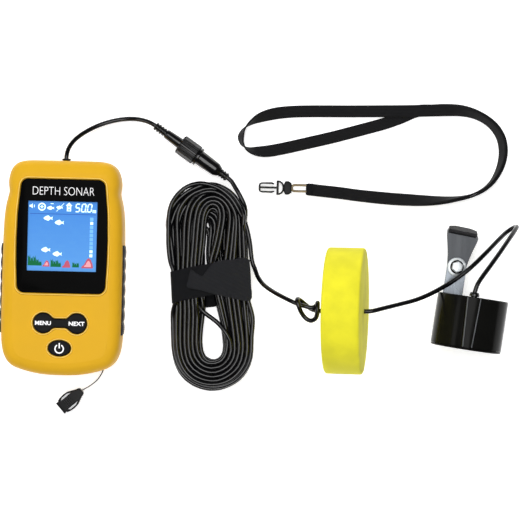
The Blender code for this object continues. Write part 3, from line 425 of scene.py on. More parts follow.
def round_cord(name, points, width, finish, sides=4):
    """A round cord as a curve with a bevel, through points in metres."""
    curve = bpy.data.curves.new(name, "CURVE")
    curve.dimensions = "3D"
    curve.bevel_depth = width * MM / 2
    curve.bevel_resolution = sides
    curve.use_fill_caps = True
    spline = curve.splines.new("POLY")
    spline.points.add(len(points) - 1)
    for target, point in zip(spline.points, points):
        target.co = (*point, 1.0)
    spline.use_smooth = True
    curve.materials.append(FINISHES[finish])
    made = bpy.data.objects.new(name, curve)
    bpy.context.scene.collection.objects.link(made)
    return made


def length_of(points):
    return float(np.linalg.norm(np.diff(np.asarray(points, float), axis=0), axis=1).sum())


# Materials

def node(tree, kind, inputs=None, **settings):
    made = tree.nodes.new("ShaderNode" + kind)
    for key, value in settings.items():
        setattr(made, key, value)
    for key, value in (inputs or {}).items():
        if isinstance(value, bpy.types.NodeSocket):
            tree.links.new(value, made.inputs[key])
        else:
            made.inputs[key].default_value = value
    return made


def ramp(tree, factor, stops):
    """A colour ramp with stops of (position, (red, green, blue))."""
    made = node(tree, "ValToRGB", {"Fac": factor})
    elements = made.color_ramp.elements
    while len(elements) < len(stops):
        elements.new(0.5)
    for element, (place, colour) in zip(elements, stops):
        element.position = place
        element.color = (*colour, 1.0)
    return made.outputs["Color"]


def raise_surface(tree, shader, height, strength, distance):
    """Joins a height to the surface, in metres."""
    bump = node(tree, "Bump", {"Height": height, "Strength": strength, "Distance": distance})
    tree.links.new(bump.outputs["Normal"], shader.inputs["Normal"])


def new_material(name):
    """A material with its node tree and its main shader."""
    made = bpy.data.materials.new(name)
    made.use_nodes = True
    return made, made.node_tree, made.node_tree.nodes["Principled BSDF"]


def shades(colour, spread):
    """A darker and a lighter version of a colour."""
    return tuple(c * (1 - spread) for c in colour), tuple(min(c * (1 + spread), 1.0) for c in colour)


def plain(name, colour, roughness, metallic=0.0, grain=900.0, bump=0.15, tint=0.06, rough_spread=0.06,
          coat=0.0, shine=0.5, mottle=40.0, stretch=(1.0, 1.0, 1.0)):
    """A surface with fine grain in its relief, and slow changes of shade and gloss."""
    made, tree, shader = new_material(name)
    place = node(tree, "TexCoord").outputs["Object"]
    scaled = node(tree, "Mapping", {"Vector": place, "Scale": stretch}).outputs["Vector"]
    slow = node(tree, "TexNoise", {"Vector": scaled, "Scale": mottle, "Detail": 3.0}).outputs["Fac"]
    fine = node(tree, "TexNoise", {"Vector": scaled, "Scale": grain, "Detail": 2.0}).outputs["Fac"]
    dark, light = shades(colour, tint)
    tree.links.new(ramp(tree, slow, [(0.3, dark), (0.7, light)]), shader.inputs["Base Color"])
    gloss = node(tree, "MapRange", {"Value": slow, "From Min": 0.3, "From Max": 0.7,
                                    "To Min": max(roughness - rough_spread, 0.02),
                                    "To Max": roughness + rough_spread}).outputs["Result"]
    tree.links.new(gloss, shader.inputs["Roughness"])
    raise_surface(tree, shader, fine, bump, 0.0001)
    shader.inputs["Metallic"].default_value = metallic
    shader.inputs["Specular IOR Level"].default_value = shine
    shader.inputs["Coat Weight"].default_value = coat
    shader.inputs["Coat Roughness"].default_value = 0.06
    return made


def woven(name, colour, pitch, across, turn=0.0, use_uv=False):
    """Woven tape: ribs along it crossed by picks, with a little sheen. The pitches are in
    millimetres, and across is the pick's pitch."""
    made, tree, shader = new_material(name)
    coordinates = node(tree, "TexCoord")
    place = coordinates.outputs["UV" if use_uv else "Object"]
    turned_place = node(tree, "Mapping", {"Vector": place, "Rotation": (0, 0, turn)}).outputs["Vector"]
    unit = 1.0 if use_uv else MM
    parts = node(tree, "SeparateXYZ", {"Vector": turned_place})

    def wave(value, period):
        angle = node(tree, "Math", {0: value, 1: math.tau / (period * unit)}, operation="MULTIPLY")
        return node(tree, "Math", {0: angle.outputs[0]}, operation="SINE").outputs[0]

    rows = wave(parts.outputs["X"], pitch)
    picks = wave(parts.outputs["Y"], across)
    crossed = node(tree, "Math", {0: rows, 1: picks}, operation="MULTIPLY").outputs[0]
    height = node(tree, "Math", {0: crossed, 1: rows}, operation="ADD").outputs[0]
    solid = coordinates.outputs["Object"]
    fuzz = node(tree, "TexNoise", {"Vector": solid, "Scale": 3000.0}).outputs["Fac"]
    total = node(tree, "Math", {0: height, 1: fuzz}, operation="ADD").outputs[0]
    # The colour follows the weave's height plus random fuzz: darker in the hollows, a painted shade, and
    # lighter on the crests, a painted highlight
    dark, light = shades(colour, 0.45)
    share = node(tree, "MapRange", {"Value": total, "From Min": -1.5, "From Max": 2.5}).outputs["Result"]
    tree.links.new(ramp(tree, share, [(0.1, dark), (0.9, light)]), shader.inputs["Base Color"])
    raise_surface(tree, shader, total, 0.5, 0.0001)
    shader.inputs["Roughness"].default_value = 0.82
    shader.inputs["Specular IOR Level"].default_value = 0.2
    shader.inputs["Sheen Weight"].default_value = 0.04
    shader.inputs["Sheen Roughness"].default_value = 0.4
    return made


def foam(name, colour):
    """Closed cell foam: small pits between cells of slightly different shades."""
    made, tree, shader = new_material(name)
    place = node(tree, "TexCoord").outputs["Object"]
    cells = node(tree, "TexVoronoi", {"Vector": place, "Scale": 1100.0}).outputs["Distance"]
    slow = node(tree, "TexNoise", {"Vector": place, "Scale": 60.0, "Detail": 5.0}).outputs["Fac"]
    dark, light = shades(colour, 0.07)
    tree.links.new(ramp(tree, slow, [(0.35, dark), (0.65, light)]), shader.inputs["Base Color"])
    height = node(tree, "Math", {0: cells, 1: slow}, operation="ADD").outputs[0]
    raise_surface(tree, shader, height, 0.35, 0.0002)
    shader.inputs["Roughness"].default_value = 0.8
    shader.inputs["Subsurface Weight"].default_value = 0.1
    shader.inputs["Subsurface Radius"].default_value = (0.002, 0.002, 0.001)
    return made


def display(name, low, high, low_y, high_y):
    """A lit liquid crystal display, shaded from one blue to another up its height, with the faint
    squares of its unlit segments."""
    made, tree, shader = new_material(name)
    place = node(tree, "TexCoord").outputs["Object"]
    parts = node(tree, "SeparateXYZ", {"Vector": place})
    share = node(tree, "MapRange", {"Value": parts.outputs["Y"], "From Min": low_y * MM,
                                    "From Max": high_y * MM}).outputs["Result"]
    base = ramp(tree, share, [(0.0, low), (1.0, high)])
    cells = node(tree, "TexBrick", {"Vector": place, "Scale": 120.0, "Mortar Size": 0.02,
                                    "Color1": (0.93, 0.96, 1.0, 1.0), "Color2": (1.0, 1.0, 1.0, 1.0),
                                    "Mortar": (0.95, 0.97, 1.0, 1.0)}).outputs["Color"]
    tinted = node(tree, "Mix", {0: 1.0, 6: base, 7: cells}, data_type="RGBA",
                  blend_type="MULTIPLY").outputs[2]
    tree.links.new(tinted, shader.inputs["Base Color"])
    tree.links.new(tinted, shader.inputs["Emission Color"])
    shader.inputs["Emission Strength"].default_value = 0.22
    shader.inputs["Roughness"].default_value = 0.3
    shader.inputs["Specular IOR Level"].default_value = 0.1
    return made


def ink(name, colour, glow=0.0):
    made = plain(name, colour, 0.5, bump=0.02, tint=0.03, shine=0.1)
    shader = made.node_tree.nodes["Principled BSDF"]
    shader.inputs["Emission Color"].default_value = (*colour, 1.0)
    shader.inputs["Emission Strength"].default_value = glow
    return made


def make_finishes():
    moulded = {"grain": 2500.0, "bump": 0.1, "tint": 0.15}
    return {
        "case": plain("case_plastic", (0.73, 0.405, 0.019), 0.42, grain=2600.0, bump=0.12, tint=0.025,
                      shine=0.08),
        # A lighter yellow for the lips' crests: painted highlight
        "rim": plain("lip_painted_highlight", (0.95, 0.66, 0.16), 0.35, grain=2600.0, bump=0.1, tint=0.05, shine=0.3),
        "rubber": plain("key_rubber", (0.010, 0.010, 0.011), 0.6, grain=3500.0, bump=0.2, shine=0.1),
        "grip": plain("grip_rubber", (0.02, 0.02, 0.022), 0.6, grain=3500.0, bump=0.25, shine=0.3),
        "border": plain("window_border", (0.0025, 0.0025, 0.0025), 0.12, grain=60.0, bump=0.01, tint=0.1,
                        shine=0.008),
        "black": plain("black_plastic", (0.0025, 0.0025, 0.003), 0.17, shine=0.6, **moulded),
        "buckle": plain("buckle_plastic", (0.004, 0.004, 0.0045), 0.3, shine=0.13, **moulded),
        "board": plain("solder_mask", (0.02, 0.16, 0.07), 0.4, grain=1500.0, bump=0.3, tint=0.25,
                       mottle=250.0),
        "zinc": plain("zinc_plate", (0.58, 0.61, 0.63), 0.3, 0.35, grain=1800.0, bump=0.08, tint=0.14,
                      mottle=220.0),
        "tab": plain("zinc_tab", (0.18, 0.20, 0.225), 0.3, 0.6, grain=1500.0, bump=0.15, tint=0.3,
                     stretch=(1.0, 0.25, 1.0), mottle=150.0),
        "satin": plain("satin_steel", (0.062, 0.066, 0.072), 0.42, 0.7, bump=0.2, tint=0.12,
                       stretch=(1.0, 0.06, 1.0), rough_spread=0.1, mottle=180.0),
        "cell": plain("cell_sleeve", (0.1, 0.12, 0.35), 0.25, bump=0.05, tint=0.2, coat=0.5),
        "cable": plain("cable_jacket", (0.0015, 0.0015, 0.002), 0.17, grain=1500.0, bump=0.05, tint=0.15,
                       shine=0.55),
        "thread": plain("tether_thread", (0.09, 0.09, 0.1), 0.6, grain=4000.0, bump=0.5, tint=0.2),
        "strap": woven("strap_weave", (0.006, 0.0063, 0.0076), 0.62, 0.62, HANK_TILT),
        "foam": foam("float_foam", (0.79, 0.73, 0.022)),
        "gloss": plain("sensor_shell", (0.005, 0.005, 0.0045), 0.16, grain=400.0, bump=0.03, tint=0.2,
                       shine=0.07),
        # Lighter grey for the bars along the ridge's edges: painted highlight
        "edge": plain("ridge_painted_highlight", (0.06, 0.064, 0.07), 0.4, bump=0.1, tint=0.3),
        "ceramic": plain("piezo_ceramic", (0.75, 0.7, 0.6), 0.5, grain=2000.0, bump=0.2, tint=0.1),
        "cork": plain("cork_grain", (0.42, 0.27, 0.14), 0.85, bump=0.6, tint=0.4, mottle=500.0),
        "wire": plain("link_wire", (0.24, 0.185, 0.11), 0.3, 0.8, grain=1200.0, bump=0.05, tint=0.1),
        "strap_loop": woven("strap_loop_side", (0.0155, 0.016, 0.0185), 0.8, 0.45,
                            HANK_TILT + math.radians(75)),
        "webbing": woven("webbing_weave", (0.009, 0.009, 0.010), 0.9, 0.7, use_uv=True),
        # White print with a faint emission: a painted glow
        "white": ink("label_white_painted_glow", (0.9, 0.9, 0.92), 0.25),
        "screen": display("display_blue", (0.085, 0.285, 0.66), (0.05, 0.215, 0.60), -1.9, 40.5),
        "icon": ink("icon_white", (0.68, 0.93, 0.93), 0.5),
        "pale": ink("icon_pale", (0.16, 0.42, 0.85), 0.35),
        "line": ink("icon_line", (0.03, 0.10, 0.42), 0.2),
        "weed": ink("icon_green", (0.004, 0.12, 0.04), 0.25),
        "red": ink("icon_red", (0.44, 0.08, 0.13), 0.3),
        "pink": ink("icon_pink", (0.75, 0.30, 0.34), 0.35),
    }


# Cable: the hank's winding, worked out in the hank's own frame

def to_hank(points):
    c, s = math.cos(HANK_TILT), math.sin(HANK_TILT)
    p = np.atleast_2d(np.asarray(points, float)) - HANK_CENTRE
    return np.column_stack([p[:, 0] * c + p[:, 1] * s, p[:, 1] * c - p[:, 0] * s, p[:, 2]])


def from_hank(p):
    c, s = math.cos(HANK_TILT), math.sin(HANK_TILT)
    return np.column_stack([p[:, 0] * c - p[:, 1] * s, p[:, 1] * c + p[:, 0] * s, p[:, 2]]) + HANK_CENTRE


def turn_point(share, low, high, middle, half):
    """A point on one turn, clockwise from the top of its right leg: right leg, lower fold, left
    leg and upper fold, a quarter of the turn each. Middle and half are functions of the height."""
    part, t = int(share * 4) % 4, (share * 4) % 1.0
    side = 1 if part < 2 else -1
    first, last = (high, low) if part < 2 else (low, high)
    if part % 2 == 0:
        y = first + (last - first) * t
        return np.array((middle(y) + side * half(y), y))
    across, along = math.cos(math.pi * t), math.sin(math.pi * t)
    return np.array((middle(last) + side * half(last) * across, last - side * half(last) * along))


def inner_turn(share, layer):
    """A point on the innermost turn of a layer."""
    def at_layer(values):
        return float(np.interp(layer, range(4), values))

    top = at_layer(UPPER_FOLD_Y)
    heights = GAP_Y + [top]
    middles = GAP_MIDDLE + [at_layer(GAP_MIDDLE_25), at_layer(UPPER_FOLD_X)]
    halves = GAP_HALF + [at_layer(GAP_HALF_25), at_layer(UPPER_FOLD_RADIUS)]
    return turn_point(share, GAP_Y[0], top, lambda y: float(np.interp(y, heights, middles)),
                      lambda y: float(np.interp(y, heights, halves)))


def bump_at(y, centre, width):
    return math.exp(-((y - centre) / width) ** 2)


def eased(share):
    return share * share * (3 - 2 * share)


def column_of(turn):
    """A turn's column, 0 for the outermost, and its layer. Layers run in and out by turns."""
    layer, place = divmod(turn, COLUMNS)
    return (place if layer % 2 == 0 else COLUMNS - 1 - place), layer


def winding(start, end):
    """The wound cable before its turns settle, from start to end."""
    draw = np.random.RandomState(7)
    phases = draw.uniform(0, math.tau, 4)
    rates = (0.37, 0.83, 1.31, 2.17)
    path = []
    for u in np.arange(3.78 / 4, HANK_TURNS + 4.13 / 4, 1 / 160):
        turn, share = int(u), u - int(u)
        column, layer = column_of(min(turn, HANK_TURNS))
        next_column, next_layer = column_of(min(turn + 1, HANK_TURNS))
        column += (next_column - column) * eased(share)
        layer += (next_layer - layer) * eased(share)
        outer = turn_point(share, -OUTER_STRAIGHT, OUTER_STRAIGHT, lambda y: 0.0,
                           lambda y: OUTER_HALF_WIDTH)
        inner = inner_turn(share, layer)
        looseness = 0.35 + 0.5 / (1 + math.exp((5 - outer[1]) / 8))
        wander = sum(math.sin(rate * u * math.tau + phase) for rate, phase in zip(rates, phases)) / 4
        place = min(max((column + wander * looseness) / (COLUMNS - 1), -0.02), 1.02)
        x, y = (1 - place) * outer + place * inner
        leg = int(share * 4)
        for stray_turn, stray_leg, reach, middle, spread in STRAYS:
            if turn == stray_turn and leg == stray_leg:
                x += math.copysign(1.0, x) * reach * bump_at(y, middle, spread)
        if y > OUTER_STRAIGHT:
            outward = np.array((x, y - OUTER_STRAIGHT)) / math.hypot(x, y - OUTER_STRAIGHT)
            loose = (2.3 if turn == LOOSE_TURN else -1.5) * bump_at(x, -9.5, 7.0)
            x, y = (x, y) + outward * loose
        path.append((x, y, 1.5 + LAYER_HEIGHT * layer + 0.5 * math.sin(u * 9.1)))
    path = np.array(path)
    steps = np.arange(len(path))
    for point, distance in ((start - path[0], steps), (end - path[-1], steps[::-1])):
        path = path + point * ((1 + np.cos(np.pi * np.clip(distance / 22, 0, 1))) / 2)[:, None]
    return path


def resampled(path, step):
    along = np.concatenate([[0], np.cumsum(np.linalg.norm(np.diff(path, axis=0), axis=1))])
    places = np.linspace(0, along[-1], int(round(along[-1] / step)) + 1)
    return np.column_stack([np.interp(places, along, path[:, k]) for k in range(3)]), places


def near_pairs(p, reach):
    """Pairs of points of the cable closer than reach, without near neighbours along it."""
    found = []
    block = 400
    single = p.astype(np.float32)
    for first in range(0, len(single), block):
        apart = np.linalg.norm(single[first:first + block, None, :] - single[None, :, :], axis=2)
        a, b = np.nonzero(apart < reach)
        keep = b > a + first + 4
        found.append(np.column_stack([a[keep] + first, b[keep]]))
    return np.concatenate(found)


def curl(p):
    """Half the second difference along the cable."""
    found = np.zeros_like(p)
    found[1:-1] = (p[:-2] + p[2:]) / 2 - p[1:-1]
    return found


def settled(p, fixed, wound, rounds):
    """Pushes the turns out of each other, keeps the cable's bends smooth, and holds it on the
    table and inside the strap."""
    for _ in range(40):
        p = np.where(fixed[:, None], p, p - 0.3 * curl(curl(p)))
    target = p.copy()
    bend = curl(target)
    for turn in range(rounds):
        if turn % 10 == 0:
            pairs = near_pairs(p, 2.2 * CABLE_WIDTH)
        between = p[pairs[:, 0]] - p[pairs[:, 1]]
        distance = np.linalg.norm(between, axis=1)
        over = np.clip(CABLE_WIDTH * 1.01 - distance, 0, None)
        push = between / np.maximum(distance, 1e-6)[:, None] * over[:, None] * 0.5
        move = np.zeros_like(p)
        count = np.zeros(len(p))
        for side, sign in ((0, 1), (1, -1)):
            np.add.at(move, pairs[:, side], sign * push)
            np.add.at(count, pairs[:, side], over > 0)
        move /= np.maximum(count, 1)[:, None] ** 0.6
        now = curl(p)
        p = (p + move + BEND_SHARE * (now - bend) - SMOOTH_SHARE * curl(now)
             + RETURN_SHARE * (target - p))
        away = eased(np.clip((np.abs(p[:, 1]) - ROOM_LENGTH) / ROOM_FADE, 0, 1))
        away[~wound] = 1.0
        p[:, 2] = np.clip(p[:, 2], ROOM_LOW - 1.45 * away, ROOM_HIGH + 30 * away)
        middle = STRAP_MIDDLE_X * (1 - away)
        half = ROOM_HALF_WIDTH + 20 * away
        p[:, 0] = np.clip(p[:, 0] - middle, -half, half) + middle
        p[fixed] = target[fixed]
    return p


def make_cables():
    """The handset's lead, and the long cable from its socket through the hank, the knot and the float to
    the transducer."""
    points = [p * MM for p in smooth_curve(LEAD_ROUTE, 5)]
    lead = round_cord("handset_cable", points, CABLE_WIDTH, "cable")
    assign(lead, "handset", "cable_jacket", "handset_lead")

    lead_in = np.array(smooth_curve(HANK_LEAD_ROUTE, 4))
    lead_out = np.array(smooth_curve(FLOAT_LEAD_ROUTE + KNOT_ROUTE + SENSOR_LEAD_ROUTE, 5))
    near_out = lead_out[:14]
    start, end = to_hank(lead_in[-1])[0], to_hank(lead_out[0])[0]
    path = np.concatenate([to_hank(lead_in[:-1]), winding(start, end), to_hank(near_out[1:])])
    path, along = resampled(path, POINT_STEP)
    first, last = length_of(lead_in), length_of(near_out)
    fixed = (along < first - 4) | (along > along[-1] - last)
    wound = (along > first) & (along < along[-1] - last - 6)
    rounds = RELAX_ROUNDS
    path = from_hank(settled(path, fixed, wound, rounds))
    points = [Vector(p) * MM for p in path] + [Vector(p) * MM for p in lead_out[14:]]
    cable = round_cord("sensor_cable", points, CABLE_WIDTH, "cable", sides=3)
    assign(cable, "handset", "cable_jacket", "hank_lead", "cable_hank", "float_lead", "stop_knot",
           "sensor_lead")
    return lead, cable


# Handset: outlines in millimetres

CASE_SIDE = [
    (0, 65.6), (12, 65.6), (22, 65.4), (27.8, 64.2), (31.6, 61.2), (33.6, 56.6), (34.3, 51.5),
    (33.8, 46), (34.7, 41.8), (35.7, 37), (36.5, 29), (36.9, 14.5), (37.1, -12), (37.0, -36),
    (36.4, -47), (34.6, -54), (31, -59), (25, -62), (13, -64.8), (0, -65.5),
]
# Shell sections as (height, inset from the outline)
FRONT_INSIDE = [(25.6, 8.0), (24.6, 4.4), (21.5, 2.7), (13.3, 2.4)]
FRONT_OUTSIDE = [(13.3, 0.0), (19.0, 0.15), (23.5, 0.9), (26.4, 2.6), (28.2, 5.0), (29.0, 7.8)]
REAR_INSIDE = [(3.2, 5.5), (4.6, 3.0), (11.6, 2.4), (11.6, 1.2), (13.0, 1.2)]
REAR_OUTSIDE = [(13.0, 0.0), (6.0, 0.1), (2.6, 0.7), (0.9, 1.9), (0.0, 4.2)]
CASE_TOP = 29.0
CASE_FLAT_INSET = 8.6
SCREW_SPOTS = [(28.0, -49.0), (-28.0, -49.0), (27.0, 51.5), (-27.0, 51.5)]
BAR_CENTRE = (25.3, -58.2, 6.3)
BAY_LOW = (-22.3, -55.5)
BAY_HIGH = (22.3, -6.5)
BAY_ROOF = 13.3
BAY_WALL = 1.7
DOOR_RECESS = 2.1
GLAND_HEIGHT = 13.15
# Radius and Y of the cable's gland
GLAND_PROFILE = [
    (3.0, 61.0), (3.0, 62.9), (1.9, 62.9), (1.9, 65.9), (2.7, 65.9), (2.7, 66.6), (2.3, 67.0),
]
WINDOW_CORNER = 4.5
WINDOW_TOP = (25.5, 53.7)
WINDOW_MIDDLE = (27.5, 17.0)
WINDOW_LOW = (26.7, -15.1)
SCREEN_Y = 19.3
SCREEN_HALF = (20.9, 21.1)
SCREEN_TOP = 27.75
PANEL_HALF = (22.7, 24.2)
PANEL_GAP = 0.3
BORDER_TOP = 28.8
# Raised lips round the openings, with a pale crest: a painted highlight along each lip's top
LIP_OFFSET = 0.95
LIP_SINK = 0.07
CREST_RADIUS = 0.26
MENU_KEY_Y = -33.3
LOBE_X = 10.15
POWER_KEY_Y = -48.4
KEY_TOP = 29.9
KEY_GAP = 0.4
# Key sections as (height, growth of the outline), with a flange below
KEY_SECTIONS = [
    (22.4, 0.0), (22.7, 1.0), (24.0, 1.0), (24.2, 0.0), (29.0, 0.0), (29.45, -0.12), (29.75, -0.42),
    (29.88, -0.85), (KEY_TOP, -1.4),
]
GRIP_TOP_Y = 14.5
GRIP_BOTTOM_Y = -40.0
GRIP_BACK_X = 35.9
GRIP_FRONT_X = 37.0
GRIP_RIBS = 7


def case_rings(sections):
    outline = smooth_curve(CASE_SIDE + [(-x, y) for x, y in reversed(CASE_SIDE[1:-1])], 4, closed=True)
    rings = []
    for z, depth in sections:
        ring, left = outline, depth
        while left > 1e-6:
            ring = inset(ring, min(left, 0.8))
            left -= 0.8
            if depth > 3.0:
                ring = [(ring[i - 1] + 2 * p + ring[(i + 1) % len(ring)]) / 4 for i, p in enumerate(ring)]
        rings.append([(p.x, p.y, z) for p in ring])
    return rings


def window_outline(grow):
    r = WINDOW_CORNER + grow
    right = arc((WINDOW_TOP[0] - WINDOW_CORNER, WINDOW_TOP[1] - WINDOW_CORNER), r, 90, 4, 10)
    right += [(WINDOW_MIDDLE[0] - 0.45 + grow, 33.0), (WINDOW_MIDDLE[0] + grow, WINDOW_MIDDLE[1]),
              (WINDOW_MIDDLE[0] - 0.15 + grow, 3.0)]
    right += arc((WINDOW_LOW[0] - WINDOW_CORNER, WINDOW_LOW[1] + WINDOW_CORNER), r, -3, -90, 10)
    return right + [(-x, y) for x, y in reversed(right)]


def dumbbell_outline(grow):
    """Two round lobes joined by a waisted neck."""
    lobe, fillet, neck = 6.0 + grow, 4.0 - grow, 2.5 + grow
    rise = neck + fillet
    reach = math.sqrt((lobe + fillet) ** 2 - rise ** 2)
    bend = math.degrees(math.atan2(rise, reach))
    upper = arc((LOBE_X, 0), lobe, 0, 180 - bend, 18)
    upper += arc((LOBE_X - reach, rise), fillet, -bend, -90, 5)
    upper += arc((reach - LOBE_X, rise), fillet, -90, bend - 180, 5)
    upper += arc((-LOBE_X, 0), lobe, bend, 180, 18)
    lower = [(x, -y) for x, y in reversed(upper[1:-1])]
    return [(x, y + MENU_KEY_Y) for x, y in upper + lower]


def power_outline(grow):
    angles = [math.tau * i / 64 for i in range(64)]
    return [((6.75 + grow) * math.cos(a), POWER_KEY_Y + (4.65 + grow) * math.sin(a)) for a in angles]


def cylinder(radius, low, high, segments=32):
    return turned([(radius, low), (radius, high)], segments)


def at_screws(shape):
    return [moved(shape, Matrix.Translation((x, y, 0))) for x, y in SCREW_SPOTS]


def case_cuts():
    """The grip recesses and the hole for the cable's gland, through both halves."""
    sides = [box((x, GRIP_BOTTOM_Y - 0.3, 5.7), (x + 4.4, GRIP_TOP_Y + 0.3, 22.3)) for x in (35.6, -40.0)]
    return sides + [moved(cylinder(2.2, 60, 70), aimed((0, 0, GLAND_HEIGHT), (0, 1, 0)))]


def make_front():
    outside = [(p.x, p.y) for p in smooth_curve(FRONT_OUTSIDE, 4)] + [(CASE_TOP, CASE_FLAT_INSET)]
    front = new_object("front_shell", loft(case_rings(FRONT_INSIDE + outside)), "case")
    lips, crests = [], []
    low = CASE_TOP - LIP_SINK
    for outline, width in ((window_outline, 0.62), (dumbbell_outline, 0.5), (power_outline, 0.5)):
        line = outline(LIP_OFFSET)
        lips.append(bead([(x, y, low) for x, y in line], width, sides=12))
        crests.append(bead([(x, y, low + 0.8 * width) for x, y in line], CREST_RADIUS))
    combine(front, "UNION", lips + at_screws(cylinder(3.5, 6.3, 27.0, 24)))
    half_x, half_y = (size + PANEL_GAP for size in PANEL_HALF)
    above = CASE_TOP + 2.0
    cut(front, prism(window_outline(0.3), 26.9, above))
    cut(front, box((-half_x, SCREEN_Y - half_y, 22.0), (half_x, SCREEN_Y + half_y, 28.0)),
        prism(dumbbell_outline(KEY_GAP), 22.0, above), prism(power_outline(KEY_GAP), 22.0, above),
        *at_screws(cylinder(1.5, 5.0, 18.0, 16)), *case_cuts())
    flattened(front)
    assign(front, "handset", "case_yellow", "front_case")
    # Crests in the lighter yellow along the lips: a painted highlight
    add("lip_crest_highlights", joined(*crests), "rim", "handset", "case_yellow")


def make_rear():
    outside = [(p.x, p.y) for p in smooth_curve(REAR_OUTSIDE, 4)]
    rear = new_object("rear_shell", loft(case_rings(REAR_INSIDE + outside)), "case")
    corner = [(19.5, -61.4), (19.5, -54.0), (30.5, -54.0), (30.0, -58.2), (25.0, -60.8)]
    low_x, low_y = (side - BAY_WALL for side in BAY_LOW)
    high_x, high_y = (side + BAY_WALL for side in BAY_HIGH)
    combine(rear, "UNION", [box((low_x, low_y, 2.0), (high_x, high_y, BAY_ROOF + 1.5))])
    combine(rear, "UNION", at_screws(cylinder(4.2, 1.5, 6.0, 24)) + [prism(corner, 2.5, 11.5)])
    cut(rear, box((*BAY_LOW, -1.0), (*BAY_HIGH, BAY_ROOF)))
    cut(rear, box((-25.0, -70.0, -1.0), (25.0, -4.0, DOOR_RECESS)))
    cut(rear, *at_screws(turned([(3.1, -1.0), (3.1, 3.2), (1.5, 3.2), (1.5, 7.0)], 32)), *case_cuts())
    x, y, z = BAR_CENTRE
    cut(rear, box((x - 2.5, -66.0, z - 2.4), (x + 2.5, y + 2.4, z + 3.7)))
    cut(rear, moved(cylinder(1.3, -4.0, 4.0), aimed(BAR_CENTRE, (1, 0, 0))))
    assign(rear, "handset", "case_yellow", "rear_case")


def make_grip(name, side):
    """A rubber strip whose outer face is a row of rounded ribs, with its long edges eased."""
    per_rib = 14
    count = GRIP_RIBS * per_rib
    rings = []
    for z, back in ((6.0, 0.5), (6.25, 0.2), (6.7, 0.0), (21.3, 0.0), (21.75, 0.2), (22.0, 0.5)):
        ring = [(side * GRIP_BACK_X, GRIP_TOP_Y, z)]
        for i in range(count + 1):
            y = GRIP_TOP_Y + (GRIP_BOTTOM_Y - GRIP_TOP_Y) * i / count
            rise = abs(math.sin(math.pi * i / per_rib)) ** 0.7
            ring.append((side * (GRIP_FRONT_X - back + 0.6 * rise), y, z))
        ring.append((side * GRIP_BACK_X, GRIP_BOTTOM_Y, z))
        rings.append(ring)
    add(f"{name}_ribbed", loft(rings), "grip", "handset", "black_rubber", name)


def make_window():
    border = new_object("window_border", prism(window_outline(0.0), 27.9, BORDER_TOP, 0.3), "border")
    half_x, half_y = SCREEN_HALF
    cut(border, box((-half_x, SCREEN_Y - half_y, 27.0), (half_x, SCREEN_Y + half_y, 30.0)))
    assign(border, "handset", "screen_window", "screen_window")
    half_x, half_y = PANEL_HALF
    panel = box((-half_x, SCREEN_Y - half_y, 25.4), (half_x, SCREEN_Y + half_y, SCREEN_TOP))
    glass = new_object("display_panel", panel, "screen")
    bevelled(glass, 0.2)
    assign(glass, "handset", "screen_window", "lcd_panel")
    lettering("heading", "DEPTH SONAR", (0.3, 46.6), BORDER_TOP, (37.2, 4.9), "white", "handset", -0.02)


def lettering(name, words, centre, low, size, finish, body, weight=0.012):
    """Raised letters fitted to a width and height about a centre."""
    data = bpy.data.curves.new(name, "FONT")
    data.body = words
    data.extrude = 0.5
    data.offset = weight
    data.resolution_u = 4
    source = bpy.data.objects.new(name, data)
    bpy.context.scene.collection.objects.link(source)
    view = bpy.context.evaluated_depsgraph_get()
    view.update()
    mesh = bpy.data.meshes.new_from_object(source.evaluated_get(view))
    bpy.data.objects.remove(source)
    points = np.array([tuple(v.co) for v in mesh.vertices])
    lowest, highest = points.min(axis=0), points.max(axis=0)
    scale = np.array((*size, 0.08)) / (highest - lowest)
    points = (points - (lowest + highest) / 2) * scale + np.array((*centre, low + 0.04))
    mesh.vertices.foreach_set("co", (points * MM).ravel())
    mesh.materials.clear()
    mesh.materials.append(FINISHES[finish])
    made = bpy.data.objects.new(f"{name}_letters", mesh)
    bpy.context.scene.collection.objects.link(made)
    return assign(made, body, "screen_window")


# Display symbols: flat shapes, their centre and size in millimetres

def fish(x, y, length):
    """A fish that swims to the left, as an outline about its middle."""
    half = [(-0.5, 0.0), (-0.42, 0.1), (-0.3, 0.19), (-0.1, 0.27), (0.02, 0.31), (0.12, 0.22),
            (0.27, 0.09), (0.36, 0.12), (0.5, 0.2), (0.44, 0.02)]
    outline = half + [(a, -b * 0.85) for a, b in reversed(half[1:])]
    return [(x + a * length, y + b * length) for a, b in outline]


def rectangle(x, y, half_x, half_y, slant=0.0):
    return [(x - half_x + slant * half_y, y + half_y), (x + half_x + slant * half_y, y + half_y),
            (x + half_x - slant * half_y, y - half_y), (x - half_x - slant * half_y, y - half_y)]


def ring_shape(x, y, outer, inner, low, high):
    profile = [(inner, low), (outer, low), (outer, high), (inner, high)]
    return moved(turned(profile, 32, closed=True), Matrix.Translation((x, y, 0)))


SEGMENTS = {"0": "abcdef", "5": "acdfg"}


def digit(sign, x, y, half_x, half_y):
    """A slanted seven-segment figure."""
    thick, slant = 0.36, 0.14
    quarter = half_y / 2
    parts = {"a": (0, half_y), "b": (half_x, quarter), "c": (half_x, -quarter), "d": (0, -half_y),
             "e": (-half_x, -quarter), "f": (-half_x, quarter), "g": (0, 0)}
    outlines = []
    for segment in SEGMENTS[sign]:
        dx, dy = parts[segment]
        half = (thick, quarter - 0.2) if dx else (half_x - 0.22, thick)
        outlines.append(rectangle(x + dx + slant * dy, y + dy, half[0], half[1], slant))
    return outlines


